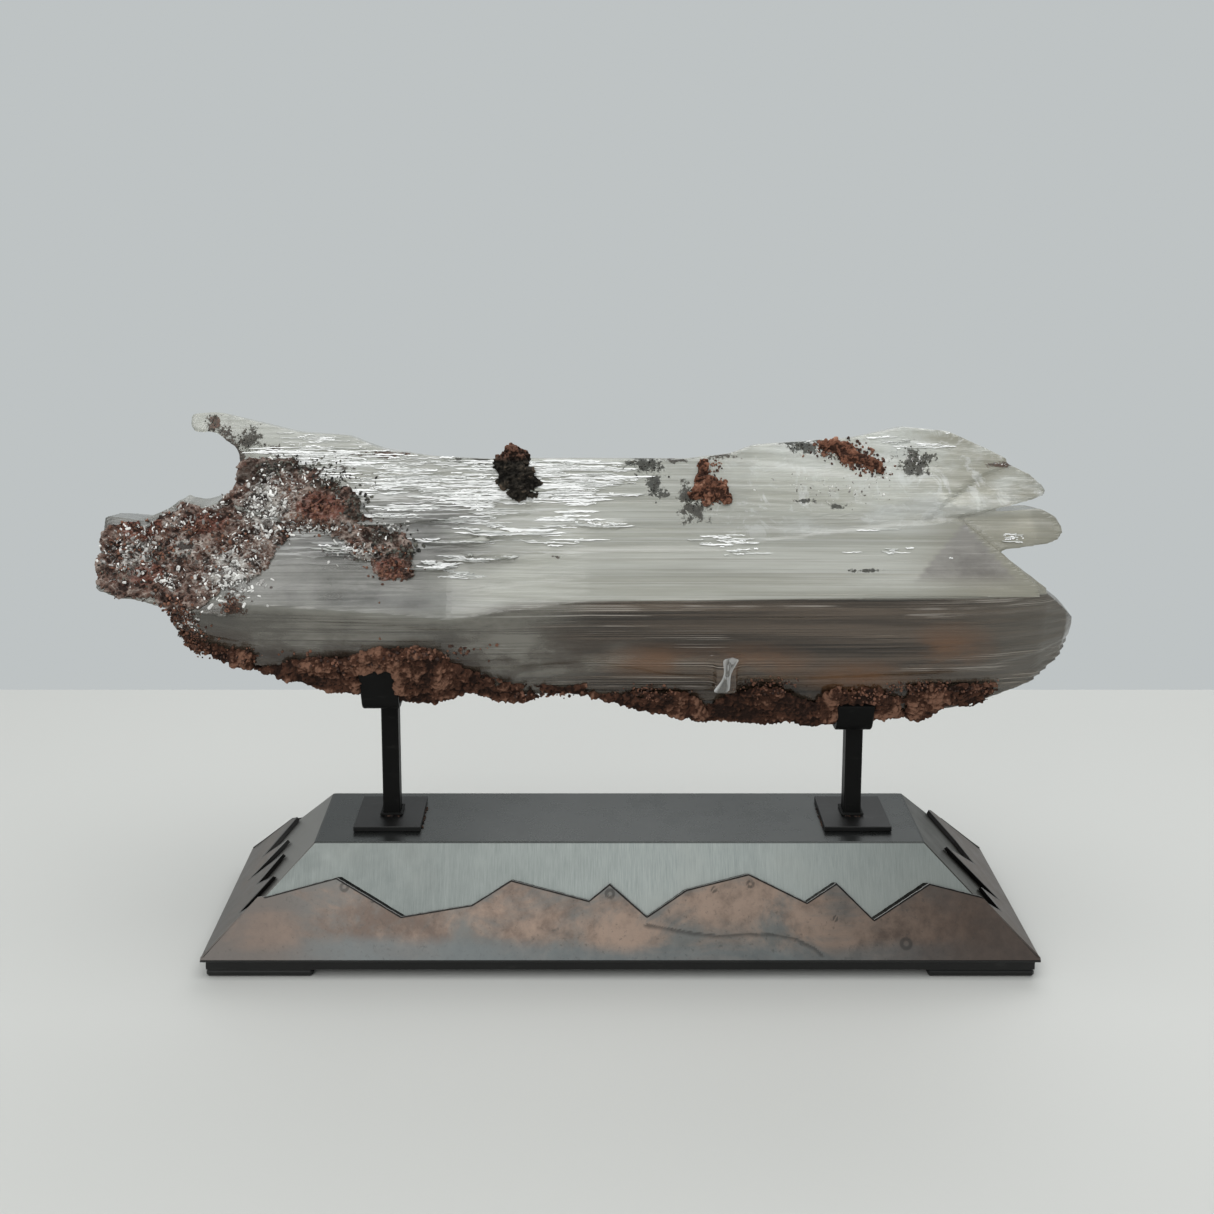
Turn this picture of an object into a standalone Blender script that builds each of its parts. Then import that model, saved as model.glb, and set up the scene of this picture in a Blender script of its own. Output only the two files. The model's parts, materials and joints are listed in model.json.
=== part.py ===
"""Selenite crystal blade lying in two bent cradles on a low steel stand.

Metres, +Z up. The stand's long side runs along X and its front faces -Y. All pieces hang from one empty that stands
at the middle of the stand, a little to the right of the middle of the longer crystal.
"""

import math
import random

import bmesh
import bpy
from mathutils import Matrix, Vector, noise

# Driving dimensions of the stand
GAP = 0.0003
STAND_X = 0.0150
BASE_LENGTH = 0.4570
BASE_DEPTH = 0.1223
TOP_LENGTH = 0.3405
TOP_DEPTH = 0.0600
TOP_Z = 0.0638
PAD_HEIGHT = 0.0044
PAD_LENGTH = 0.0580
FOOT_TOP_Z = 0.0088
FOOT_INSET = 0.0025
BOTTOM_PLATE_Z = 0.0100
BOTTOM_PLATE_THICK = 0.0012
CLADDING_THICK = 0.0024
MOUNT_PLATE_SIDE = 0.0380
MOUNT_PLATE_THICK = 0.0030
POST_SIDE = 0.0097
STRAP_WIDTH = 0.0204
STRAP_THICK = 0.0030

# Cladding edge: places along a face, and heights as a share of the slope
FRONT_PEAKS = [
    (-0.1954, 0.520), (-0.1567, 0.687), (-0.1200, 0.350), (-0.0815, 0.451), (-0.0601, 0.666),
    (-0.0172, 0.488), (-0.0056, 0.635), (0.0148, 0.352), (0.0365, 0.582), (0.0714, 0.720),
    (0.1028, 0.471), (0.1197, 0.641), (0.1392, 0.323), (0.1709, 0.637), (0.2011, 0.514),
]
LEFT_PEAKS = [
    (-0.0520, 0.520), (-0.0430, 0.300), (-0.0330, 0.600), (-0.0200, 0.380), (-0.0080, 0.605),
    (0.0030, 0.180), (0.0120, 0.577), (0.0240, 0.250), (0.0400, 0.575), (0.0520, 0.415),
]
RIGHT_PEAKS = [
    (-0.0500, 0.514), (-0.0370, 0.250), (-0.0260, 0.400), (-0.0180, 0.170), (-0.0080, 0.688),
    (0.0120, 0.280), (0.0260, 0.420), (0.0380, 0.682), (0.0520, 0.540),
]

# Each carrier: where the post, its plate and its strap stand, and the heights of the strap
CARRIERS = {
    "left": dict(plate_x=-0.1317, post_x=-0.1308, strap_x=-0.1325, bottom_z=0.1385, lip_z=0.1675),
    "right": dict(plate_x=0.1355, post_x=0.1346, strap_x=0.1318, bottom_z=0.1222, lip_z=0.1415),
}
STRAP_BEND = 0.0060
CLEARED_OUTSIDE = 0.0120

# The crystal's front: the upper face leans back from the ridge, the lower one goes under it in two facets
RIDGE_Z = 0.2095
UPPER_LEAN = 0.606
LOWER_LEAN = 0.310
UNDER_LEAN = 0.420
FACET_SHARE = 0.50
FULL_HALF = 0.0450
BACK_DROP = 0.0060
BACK_FALL = 0.60
WIDE_TOP = 0.0080

# Main crystal, from the broken left end to the tip: x, top, ridge and bottom height, half depth
MAIN_STATIONS = [
    (-0.2460, 0.2300, 0.2050, 0.1880, 0.0300),
    (-0.2340, 0.2520, 0.2085, 0.1760, 0.0390),
    (-0.2030, 0.2600, 0.2062, 0.1680, 0.0440),
    (-0.1600, 0.2700, 0.2038, 0.1555, 0.0450),
    (-0.1200, 0.2740, 0.2010, 0.1490, 0.0450),
    (-0.0920, 0.2760, 0.1985, 0.1500, 0.0445),
    (-0.0600, 0.2766, 0.2025, 0.1475, 0.0455),
    (-0.0180, 0.2768, 0.2086, 0.1490, 0.0450),
    (0.0280, 0.2766, 0.2089, 0.1345, 0.0450),
    (0.0700, 0.2760, 0.2093, 0.1305, 0.0450),
    (0.1100, 0.2740, 0.2097, 0.1300, 0.0450),
    (0.1460, 0.2660, 0.2097, 0.1330, 0.0448),
    (0.1860, 0.2470, 0.2096, 0.1370, 0.0435),
    (0.2060, 0.2312, 0.2094, 0.1430, 0.0415),
    (0.2300, 0.2130, 0.2090, 0.1515, 0.0350),
    (0.2440, 0.2030, 0.2000, 0.1650, 0.0230),
    (0.2525, 0.1960, 0.1930, 0.1790, 0.0090),
]

# Blades grown on the main crystal: x, low and top height, share of the crystal's depth, depth at the top edge
SHOULDER = [
    (0.0240, 0.2280, 0.2755, 0.88, 0.0040),
    (0.0610, 0.2290, 0.2794, 0.94, 0.0070),
    (0.0759, 0.2300, 0.2838, 0.97, 0.0090),
    (0.1290, 0.2340, 0.2874, 1.00, 0.0110),
    (0.1590, 0.2420, 0.2932, 1.00, 0.0120),
    (0.1837, 0.2600, 0.2909, 0.95, 0.0140),
    (0.1990, 0.2690, 0.2846, 0.85, 0.0150),
    (0.2146, 0.2745, 0.2773, 0.50, 0.0120),
]
UPPER_FINGER = [
    (0.1300, 0.2400, 0.2640, 1.00, 0.0200),
    (0.1800, 0.2480, 0.2700, 1.00, 0.0240),
    (0.2150, 0.2538, 0.2744, 0.90, 0.0240),
    (0.2265, 0.2567, 0.2694, 0.75, 0.0200),
    (0.2340, 0.2593, 0.2622, 0.40, 0.0110),
]
LOWER_FINGER = [
    (0.1500, 0.2300, 0.2480, 1.00, 0.0300),
    (0.2056, 0.2316, 0.2502, 0.95, 0.0320),
    (0.2307, 0.2346, 0.2521, 0.75, 0.0280),
    (0.2383, 0.2372, 0.2481, 0.50, 0.0220),
    (0.2406, 0.2398, 0.2440, 0.30, 0.0120),
]
APRON = [
    (0.0317, 0.2110, 0.2310, 0.90, 0.0300),
    (0.0560, 0.2110, 0.2345, 0.90, 0.0300),
    (0.1460, 0.2110, 0.2441, 0.90, 0.0300),
    (0.1860, 0.2110, 0.2472, 0.90, 0.0300),
    (0.2060, 0.2110, 0.2314, 0.90, 0.0300),
    (0.2237, 0.2110, 0.2158, 0.80, 0.0280),
]
HORN = [
    (-0.2405, 0.2936, 0.2996, 1.00, 0.0050),
    (-0.2273, 0.2868, 0.3006, 1.00, 0.0080),
    (-0.2185, 0.2828, 0.2990, 1.00, 0.0100),
    (-0.2110, 0.2520, 0.2972, 1.00, 0.0110),
    (-0.1790, 0.2440, 0.2901, 1.00, 0.0120),
    (-0.1516, 0.2440, 0.2884, 1.00, 0.0120),
    (-0.1328, 0.2440, 0.2818, 1.00, 0.0130),
    (-0.1050, 0.2460, 0.2782, 0.96, 0.0100),
    (-0.0500, 0.2500, 0.2755, 0.85, 0.0040),
]
BROKEN_END = [
    (-0.2822, 0.2130, 0.2484, 0.35, 0.0220),
    (-0.2700, 0.2090, 0.2470, 0.50, 0.0300),
    (-0.2589, 0.2080, 0.2455, 0.60, 0.0340),
    (-0.2413, 0.2040, 0.2500, 0.75, 0.0380),
    (-0.2100, 0.2000, 0.2560, 0.90, 0.0420),
]
CLEAR_PLATE = [
    (-0.2600, 0.2400, 0.2462, 0.40, 0.0080),
    (-0.2487, 0.2400, 0.2508, 0.50, 0.0100),
    (-0.2413, 0.2400, 0.2568, 0.60, 0.0110),
    (-0.2130, 0.2400, 0.2590, 0.70, 0.0140),
]
# Each blade's stations, and how far its front lies behind the crystal's face at its left and right end
BLADES = {
    "shoulder_blade": (SHOULDER, 0.0010, -0.0010),
    "upper_finger": (UPPER_FINGER, 0.0020, -0.0002),
    "lower_finger": (LOWER_FINGER, 0.0040, 0.0014),
    "apron": (APRON, 0.0009, -0.0022),
    "horn_blade": (HORN, 0.0002, 0.0012),
    "broken_end": (BROKEN_END, 0.0030, 0.0030),
    "clear_plate": (CLEAR_PLATE, 0.0090, 0.0060),
}
BITE_CENTRE = (-0.2306, 0.2722)
BITE_RADIUS = 0.0196

# Thin laths that stand proud of the upper face: x from and to, height, width, how far they stand out
LATH_FIELD = dict(x=(-0.150, -0.005), z=(0.222, 0.272), count=12)
LATH_DEPTH = 0.0120

# Clay crust along the underside: x, and how far it climbs the front face above the bottom edge
CRUST_CLIMB = [
    (-0.243, 0.005), (-0.203, 0.005), (-0.178, 0.008), (-0.155, 0.018), (-0.131, 0.025), (-0.108, 0.029),
    (-0.087, 0.018), (-0.062, 0.009), (-0.030, 0.006), (0.002, 0.006), (0.018, 0.010), (0.035, 0.015),
    (0.050, 0.006), (0.064, 0.019), (0.086, 0.022), (0.098, 0.018), (0.106, 0.006), (0.119, 0.017),
    (0.142, 0.019), (0.152, 0.015), (0.176, 0.016), (0.204, 0.011), (0.224, 0.004),
]
CRUST_THICK = [
    (-0.243, 0.0036), (-0.190, 0.0042), (-0.140, 0.0058), (-0.100, 0.0070), (-0.088, 0.0036), (0.000, 0.0034),
    (0.030, 0.0042), (0.100, 0.0052), (0.150, 0.0044), (0.224, 0.0030),
]
# Crust over the broken end and below the horn: its outline on the front, x and height
END_CRUST = [
    (-0.2835, 0.2465), (-0.2590, 0.2430), (-0.2410, 0.2520), (-0.2200, 0.2600), (-0.2110, 0.2780),
    (-0.1840, 0.2775), (-0.1680, 0.2710), (-0.1480, 0.2600), (-0.1360, 0.2465), (-0.1190, 0.2390),
    (-0.1085, 0.2315), (-0.1135, 0.2180), (-0.1285, 0.2180), (-0.1420, 0.2285), (-0.1560, 0.2380),
    (-0.1740, 0.2440), (-0.1860, 0.2340), (-0.1920, 0.2180), (-0.2220, 0.2090), (-0.2340, 0.1900),
    (-0.2450, 0.1870), (-0.2450, 0.2060), (-0.2835, 0.2110),
]
# Clods on the upper face: x and height of each lump, and its radius
CLODS = {
    "dark_clod": [
        (-0.0600, 0.2800, 0.0058), (-0.0560, 0.2760, 0.0078), (-0.0640, 0.2730, 0.0078), (-0.0560, 0.2680, 0.0086),
        (-0.0500, 0.2640, 0.0074), (-0.0620, 0.2660, 0.0072), (-0.0560, 0.2612, 0.0068), (-0.0490, 0.2602, 0.0052),
    ],
    "red_clod": [
        (0.0465, 0.2745, 0.0044), (0.0460, 0.2705, 0.0042), (0.0455, 0.2660, 0.0054), (0.0500, 0.2630, 0.0070),
        (0.0545, 0.2600, 0.0064), (0.0440, 0.2605, 0.0060), (0.0500, 0.2585, 0.0058), (0.0585, 0.2570, 0.0044),
        (0.0400, 0.2580, 0.0038),
    ],
    "shoulder_clod": [
        (0.1145, 0.2828, 0.0049), (0.1200, 0.2830, 0.0053), (0.1265, 0.2815, 0.0052), (0.1240, 0.2775, 0.0050),
        (0.1300, 0.2770, 0.0050), (0.1350, 0.2760, 0.0048), (0.1400, 0.2738, 0.0046), (0.1440, 0.2712, 0.0038),
    ],
}


def clear_scene():
    for old in list(bpy.data.objects):
        bpy.data.objects.remove(old, do_unlink=True)


def add_collection(name):
    collection = bpy.data.collections.new(name)
    bpy.context.scene.collection.children.link(collection)
    return collection


clear_scene()
PIECES = add_collection("selenite_crystal_blade")
BLADE_GROUP = add_collection("crystal_blades")
ENVELOPE = add_collection("crystal_envelope")
STRAP_SPACE = add_collection("strap_space")
STAND = bpy.data.objects.new("stand_middle", None)
STAND.location = (STAND_X, 0.0, 0.0)
PIECES.objects.link(STAND)


def material(name, colour, roughness, metallic=0.0, transmission=0.0):
    result = bpy.data.materials.new(name)
    result.use_nodes = True
    shader = result.node_tree.nodes["Principled BSDF"]
    shader.inputs["Base Color"].default_value = (*colour, 1.0)
    shader.inputs["Roughness"].default_value = roughness
    shader.inputs["Metallic"].default_value = metallic
    shader.inputs["Transmission Weight"].default_value = transmission
    return result


BLACK_STEEL = material("black_steel", (0.02, 0.021, 0.022), 0.45, 0.6)
BRUSHED_STEEL = material("brushed_steel", (0.42, 0.47, 0.47), 0.38, 0.9)
COPPER = material("patinated_copper", (0.20, 0.15, 0.13), 0.45, 0.7)
SELENITE = material("selenite", (0.80, 0.81, 0.78), 0.25, 0.0, 0.6)
CLAY = material("iron_clay", (0.22, 0.10, 0.06), 0.90)
DARK_CLAY = material("dark_clay", (0.06, 0.05, 0.045), 0.90)


def place(obj, look, collection=PIECES):
    """Puts an object in a collection, under the stand's empty, with its material."""
    collection.objects.link(obj)
    obj.parent = STAND
    if look is not None:
        obj.data.materials.append(look)
    if collection is not PIECES:
        obj.hide_render = True
        obj.display_type = "WIRE"
    return obj


def from_bmesh(name, bm, look, collection=PIECES):
    bmesh.ops.recalc_face_normals(bm, faces=bm.faces)
    mesh = bpy.data.meshes.new(name)
    bm.to_mesh(mesh)
    bm.free()
    return place(bpy.data.objects.new(name, mesh), look, collection)


def bevel(obj, width, segments=1):
    edge = obj.modifiers.new("Edges", "BEVEL")
    edge.width = width
    edge.segments = segments
    edge.limit_method = "ANGLE"
    edge.angle_limit = math.radians(30.0)


def boolean(obj, operation, collection, solver="EXACT"):
    cut = obj.modifiers.new(operation.title(), "BOOLEAN")
    cut.operation = operation
    cut.operand_type = "COLLECTION"
    cut.collection = collection
    cut.solver = solver


def box(name, size, middle, look, edge=0.0004, top_share=(1.0, 1.0)):
    """A block, drawn in at the top by top_share of its length and depth."""
    bm = bmesh.new()
    bmesh.ops.create_cube(bm, size=1.0)
    for vertex in bm.verts:
        share = top_share if vertex.co.z > 0 else (1.0, 1.0)
        vertex.co = Vector((vertex.co.x * size[0] * share[0], vertex.co.y * size[1] * share[1], vertex.co.z * size[2]))
    obj = from_bmesh(name, bm, look)
    obj.location = middle
    bevel(obj, edge)
    return obj


def between(low, high):
    return (low + high) / 2


# Foot: two pads, a board and its raised middle, which keeps the thin bottom plate clear of it
def make_foot():
    length = BASE_LENGTH - 2 * FOOT_INSET
    depth = BASE_DEPTH - 2 * FOOT_INSET
    pad_top = PAD_HEIGHT - GAP
    for side, name in ((-1, "foot_pad_left"), (1, "foot_pad_right")):
        middle = (side * (length - PAD_LENGTH) / 2, 0.0, pad_top / 2)
        box(name, (PAD_LENGTH, depth, pad_top), middle, BLACK_STEEL, 0.0012)
    bm = bmesh.new()
    bmesh.ops.create_cube(bm, size=1.0)
    bmesh.ops.scale(bm, vec=(length, depth, FOOT_TOP_Z - PAD_HEIGHT), verts=bm.verts)
    top = max(bm.faces, key=lambda face: face.calc_center_median().z)
    bmesh.ops.inset_region(bm, faces=[top], thickness=3 * FOOT_INSET)
    raised = bmesh.ops.extrude_face_region(bm, geom=[top])
    bmesh.ops.delete(bm, geom=[top], context="FACES_ONLY")
    lifted = [item for item in raised["geom"] if isinstance(item, bmesh.types.BMVert)]
    bmesh.ops.translate(bm, vec=(0.0, 0.0, BOTTOM_PLATE_Z - GAP - FOOT_TOP_Z), verts=lifted)
    board = from_bmesh("foot_board", bm, BLACK_STEEL)
    board.location = (0.0, 0.0, between(PAD_HEIGHT, FOOT_TOP_Z))


# Body: a bottom plate and a block with four sloping sides
CORE_Z = BOTTOM_PLATE_Z + BOTTOM_PLATE_THICK + GAP


def slope(half_top, half_base):
    """A sloping side's slant height, and the unit way up it: outward share and upward share."""
    rise = TOP_Z - CORE_Z
    run = half_base - half_top
    slant = math.hypot(rise, run)
    return slant, -run / slant, rise / slant


def core_half(outer_base, top, thick):
    """Half the core's length at its base, such that cladding of this thickness ends at the outer base size."""
    half = outer_base / 2
    for _ in range(20):
        slant, _, upward = slope(top / 2, half)
        half = outer_base / 2 - (thick + GAP) / upward
    return half


CORE_HALF_X = core_half(BASE_LENGTH, TOP_LENGTH, CLADDING_THICK)
CORE_HALF_Y = core_half(BASE_DEPTH, TOP_DEPTH, CLADDING_THICK)


def make_body():
    plate_middle = (0.0, 0.0, BOTTOM_PLATE_Z + BOTTOM_PLATE_THICK / 2)
    box("bottom_plate", (BASE_LENGTH, BASE_DEPTH, BOTTOM_PLATE_THICK), plate_middle, BLACK_STEEL, 0.0003)
    size = (2 * CORE_HALF_X, 2 * CORE_HALF_Y, TOP_Z - CORE_Z)
    share = (TOP_LENGTH / size[0], TOP_DEPTH / size[1])
    box("base_body", size, (0.0, 0.0, between(CORE_Z, TOP_Z)), BRUSHED_STEEL, 0.0006, share)


def cladding(name, peaks, turn, half_top, half_base, half_across, half_across_top):
    """A sheet on one sloping side, with a jagged top edge, mitred where it meets the next side's sheet."""
    slant, inward, upward = slope(half_top, half_base)
    reach = 2 * half_across
    outline = [(-reach, -0.01), (reach, -0.01), (reach, peaks[-1][1] * slant)]
    outline += [(place_on_side, share * slant) for place_on_side, share in reversed(peaks)]
    outline.append((-reach, peaks[0][1] * slant))
    bm = bmesh.new()
    corners = [bm.verts.new((across, along, 0.0)) for across, along in outline]
    sheet = bm.faces.new(corners)
    grown = bmesh.ops.extrude_face_region(bm, geom=[sheet])
    lifted = [item for item in grown["geom"] if isinstance(item, bmesh.types.BMVert)]
    bmesh.ops.translate(bm, vec=(0.0, 0.0, CLADDING_THICK), verts=lifted)
    # The face's own axes: across it, up its slope, and out of it
    frame = Matrix((
        (1.0, 0.0, 0.0, 0.0),
        (0.0, -inward, -upward, -half_base - GAP * upward),
        (0.0, upward, -inward, CORE_Z - GAP * inward),
        (0.0, 0.0, 0.0, 1.0),
    ))
    bmesh.ops.transform(bm, matrix=frame, verts=bm.verts)
    # The mitre holds the corner line and the way in which both sheets' thickness grows
    _, across_inward, across_upward = slope(half_across_top, half_across)
    corner = Vector((half_across_top - half_across, half_base - half_top, TOP_Z - CORE_Z))
    face_out = Vector((0.0, -upward, -inward))
    side_out = Vector((across_upward, 0.0, -across_inward))
    mitre = corner.cross(face_out + side_out).normalized()
    for side in (1.0, -1.0):
        normal = Vector((mitre.x * side, mitre.y, mitre.z))
        normal = normal if normal.x * side > 0 else -normal
        base_corner = Vector((side * half_across, -half_base, CORE_Z)) - normal * GAP / 2
        trim(bm, base_corner, normal)
    trim(bm, Vector((0.0, 0.0, CORE_Z)), Vector((0.0, 0.0, -1.0)))
    bmesh.ops.rotate(bm, cent=(0.0, 0.0, 0.0), matrix=Matrix.Rotation(turn, 3, "Z"), verts=bm.verts)
    from_bmesh(name, bm, COPPER)


def trim(bm, point, outward):
    """Cuts away what lies outward of a plane and closes the cut."""
    everything = bm.verts[:] + bm.edges[:] + bm.faces[:]
    bmesh.ops.bisect_plane(bm, geom=everything, dist=1e-6, plane_co=point, plane_no=outward, clear_outer=True)
    open_edges = [edge for edge in bm.edges if edge.is_boundary]
    bmesh.ops.holes_fill(bm, edges=open_edges)


def make_claddings():
    ends = (CORE_HALF_X, TOP_LENGTH / 2)
    sides = (CORE_HALF_Y, TOP_DEPTH / 2)
    back_peaks = [(-across, share) for across, share in reversed(FRONT_PEAKS)]
    right_peaks = RIGHT_PEAKS
    left_peaks = [(-across, share) for across, share in reversed(LEFT_PEAKS)]
    cladding("cladding_front", FRONT_PEAKS, 0.0, sides[1], sides[0], ends[0], ends[1])
    cladding("cladding_back", back_peaks, math.pi, sides[1], sides[0], ends[0], ends[1])
    cladding("cladding_right", right_peaks, math.pi / 2, ends[1], ends[0], sides[0], sides[1])
    cladding("cladding_left", left_peaks, -math.pi / 2, ends[1], ends[0], sides[0], sides[1])


# Carriers: a square plate, a square post with a weld round its foot, and a bent strap
def weld_collar(name, middle):
    bm = bmesh.new()
    bmesh.ops.create_cube(bm, size=1.0)
    outer = POST_SIDE + 0.0032
    height = 0.0014
    bmesh.ops.scale(bm, vec=(outer, outer, height), verts=bm.verts)
    ring = from_bmesh(name, bm, BLACK_STEEL)
    ring.location = middle
    bevel(ring, 0.0005)
    hole = bmesh.new()
    bmesh.ops.create_cube(hole, size=POST_SIDE + 2 * GAP)
    group = add_collection(name + "_hole")
    cutter = from_bmesh(name + "_hole", hole, None, group)
    cutter.location = middle
    boolean(ring, "DIFFERENCE", group)


def strap_path(carrier, spread):
    """The strap's inner line in a section across the stand: down the front lip, which lies along the crystal's lower
    face, round under the crystal and up the back lip, moved in by spread."""
    low_z = carrier["bottom_z"] + STRAP_THICK + spread
    high_z = carrier["lip_z"] + spread
    places = [carrier["strap_x"] + side * STRAP_WIDTH / 2 for side in (-1, 0, 1)]
    bottom = max(main_at(x)[2] for x in places)
    steps = 5
    lips = []
    for side in (-1, 1):
        foot, head = [max(abs(lower_face_y(x, z, side)) for x in places) for z in (bottom, carrier["lip_z"])]
        run = (head - foot) / (carrier["lip_z"] - bottom)
        lean = math.atan(run)
        # Where the lip's line would meet the floor, and how far from there the bend touches both
        corner = foot + 2 * GAP - spread - run * (bottom - low_z)
        touch = STRAP_BEND * math.tan((math.pi / 2 - lean) / 2)
        lip = []
        for index in range(steps + 1):
            turn = (math.pi / 2 - lean) * index / steps
            across = corner - touch + STRAP_BEND * math.sin(turn)
            lip.append((side * across, low_z + STRAP_BEND * (1 - math.cos(turn))))
        last = lip[-1]
        lip.append((last[0] + side * run * (high_z - last[1]), high_z))
        lips.append(lip)
    return lips[0][::-1] + lips[1]


def strap(name, carrier, collection, look, spread, thickness):
    path = strap_path(carrier, spread)
    bm = bmesh.new()
    half = STRAP_WIDTH / 2 + spread
    rows = [[bm.verts.new((side * half, across, height)) for side in (-1, 1)] for across, height in path]
    for first, second in zip(rows, rows[1:]):
        bm.faces.new((first[0], first[1], second[1], second[0]))
    obj = from_bmesh(name, bm, look, collection)
    obj.location = (carrier["strap_x"], 0.0, 0.0)
    under = obj.data.polygons[len(path) // 2 - 1].normal.z
    solid = obj.modifiers.new("Thickness", "SOLIDIFY")
    solid.thickness = thickness
    solid.offset = 1.0 if under < 0 else -1.0
    solid.use_even_offset = True
    return obj


def make_carriers():
    for side, carrier in CARRIERS.items():
        plate_low = TOP_Z + GAP
        plate_top = plate_low + MOUNT_PLATE_THICK
        plate_middle = (carrier["plate_x"], 0.0, between(plate_low, plate_top))
        size = (MOUNT_PLATE_SIDE, MOUNT_PLATE_SIDE, MOUNT_PLATE_THICK)
        box("mount_plate_" + side, size, plate_middle, BLACK_STEEL, 0.0003)
        post_low = plate_top + GAP
        post_top = carrier["bottom_z"] - GAP
        post_size = (POST_SIDE, POST_SIDE, post_top - post_low)
        box("post_" + side, post_size, (carrier["post_x"], 0.0, between(post_low, post_top)), BLACK_STEEL, 0.0006)
        weld_collar("post_weld_" + side, (carrier["post_x"], 0.0, plate_top + GAP + 0.0007))
        bevel(strap("cradle_" + side, carrier, PIECES, BLACK_STEEL, 0.0, STRAP_THICK), 0.0005)
        strap("strap_space_" + side, carrier, STRAP_SPACE, None, GAP, STRAP_THICK + CLEARED_OUTSIDE)


# Crystal sections
def ledges(low, high, count, depth, rng):
    """Points from low to high along a face that steps in and out by a little at a few heights."""
    points = [low]
    run = Vector(high) - Vector(low)
    inside = Vector((-run.y, run.x)).normalized()
    inside = inside if inside.x * -low[0] > 0 else -inside
    sunk = False
    shares = sorted(0.08 + 0.84 * (index + rng.random() * 0.7) / count for index in range(count))
    for share in shares:
        step = depth * (0.35 + 0.65 * rng.random())
        outer = Vector(low) + run * share
        inner = outer + inside * step
        nudge = run * 0.004
        points += [tuple(inner if sunk else outer), tuple((outer if sunk else inner) + nudge)]
        sunk = not sunk
    if sunk:
        points.append(tuple(Vector(high) - run * 0.006 + inside * depth * 0.3))
    points.append(high)
    return points


def main_section(station, grow, seed):
    """The main crystal's section: y and height, from the front top edge down, round and up the back."""
    _, top, ridge, bottom, half = station
    top += grow
    bottom -= grow
    half += grow * 1.2
    rng = random.Random(seed)
    fine = 0.0 if grow else 0.0007 * min(1.0, half / 0.03)
    facet = ridge - FACET_SHARE * (ridge - bottom)
    scale = half / FULL_HALF

    def side(sign, shift):
        lift = ridge + shift * scale
        crest = max(half - UPPER_LEAN * (top - lift), 0.05 * half)
        # Behind a wide top the crystal falls off to the back, so that its front edge is the highest
        fall = BACK_FALL * max(0.0, crest - WIDE_TOP) if sign > 0 else 0.0
        upper = (sign * crest, top - 0.0006 - fall)
        nose = (sign * half, lift)
        middle = (sign * (half - LOWER_LEAN * (lift - facet) * scale), facet)
        low = (sign * max(middle[0] * sign - UNDER_LEAN * (facet - bottom), 0.10 * half), bottom)
        top_face = ledges(upper, nose, 5 if fine else 0, fine, rng)
        low_face = ledges(nose, middle, 3 if fine else 0, fine, rng)
        under = ledges(middle, low, 2 if fine else 0, fine, rng)
        return top_face + low_face[1:] + under[1:]

    front = side(-1, 0.0)
    back = side(1, -BACK_DROP)
    return front + back[::-1]


def loft(name, sections, look, collection):
    """Joins flat sections of the same number of points, each a place along X and its points, into a solid."""
    bm = bmesh.new()
    rings = [[bm.verts.new((x, across, height)) for across, height in points] for x, points in sections]
    for first, second in zip(rings, rings[1:]):
        for index in range(len(first)):
            after = (index + 1) % len(first)
            bm.faces.new((first[index], first[after], second[after], second[index]))
    bm.faces.new(rings[0][::-1])
    bm.faces.new(rings[-1])
    bmesh.ops.triangulate(bm, faces=bm.faces)
    return from_bmesh(name, bm, look, collection)


def upper_face_y(height):
    """Where the upper front face lies at this height."""
    return -FULL_HALF + UPPER_LEAN * (height - RIDGE_Z)


def blade_section(station, inset, grow, rng_seed):
    """A blade's section behind the upper front face: y and height of its points."""
    _, low, top, fullness, top_depth = station
    rng = random.Random(rng_seed)
    low -= grow
    top += grow
    front_low = (upper_face_y(low) + inset - grow, low)
    front_top = (upper_face_y(top) + inset - grow, top)
    back_top = (front_top[0] + top_depth + 2 * grow, top - min(0.18 * top_depth, 0.5 * (top - low)))
    full = FULL_HALF - UPPER_LEAN * max(0.0, low - (RIDGE_Z - BACK_DROP)) - front_low[0]
    back_low = (front_low[0] + max(1.2 * top_depth, fullness * full) + 2 * grow, low)
    steps = 1 if grow else 4
    sunk = 0.0006
    front = []
    for index in range(steps + 1):
        share = index / steps
        across = front_top[0] + (front_low[0] - front_top[0]) * share
        height = front_top[1] + (front_low[1] - front_top[1]) * share
        front.append((across + sunk * rng.random() * (0 < index < steps), height))
    return front + [back_low, back_top]


def make_blades(collection, grow):
    prefix = "envelope_" if grow else ""
    for number, (name, (stations, inset_left, inset_right)) in enumerate(BLADES.items()):
        first, last = stations[0][0], stations[-1][0]
        sections = []
        for station in stations:
            share = (station[0] - first) / (last - first)
            inset = inset_left + (inset_right - inset_left) * share
            sections.append((station[0], blade_section(station, inset, grow, number)))
        sections[0] = (sections[0][0] - grow, sections[0][1])
        sections[-1] = (sections[-1][0] + grow, sections[-1][1])
        loft(prefix + name, sections, None, collection)


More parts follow.
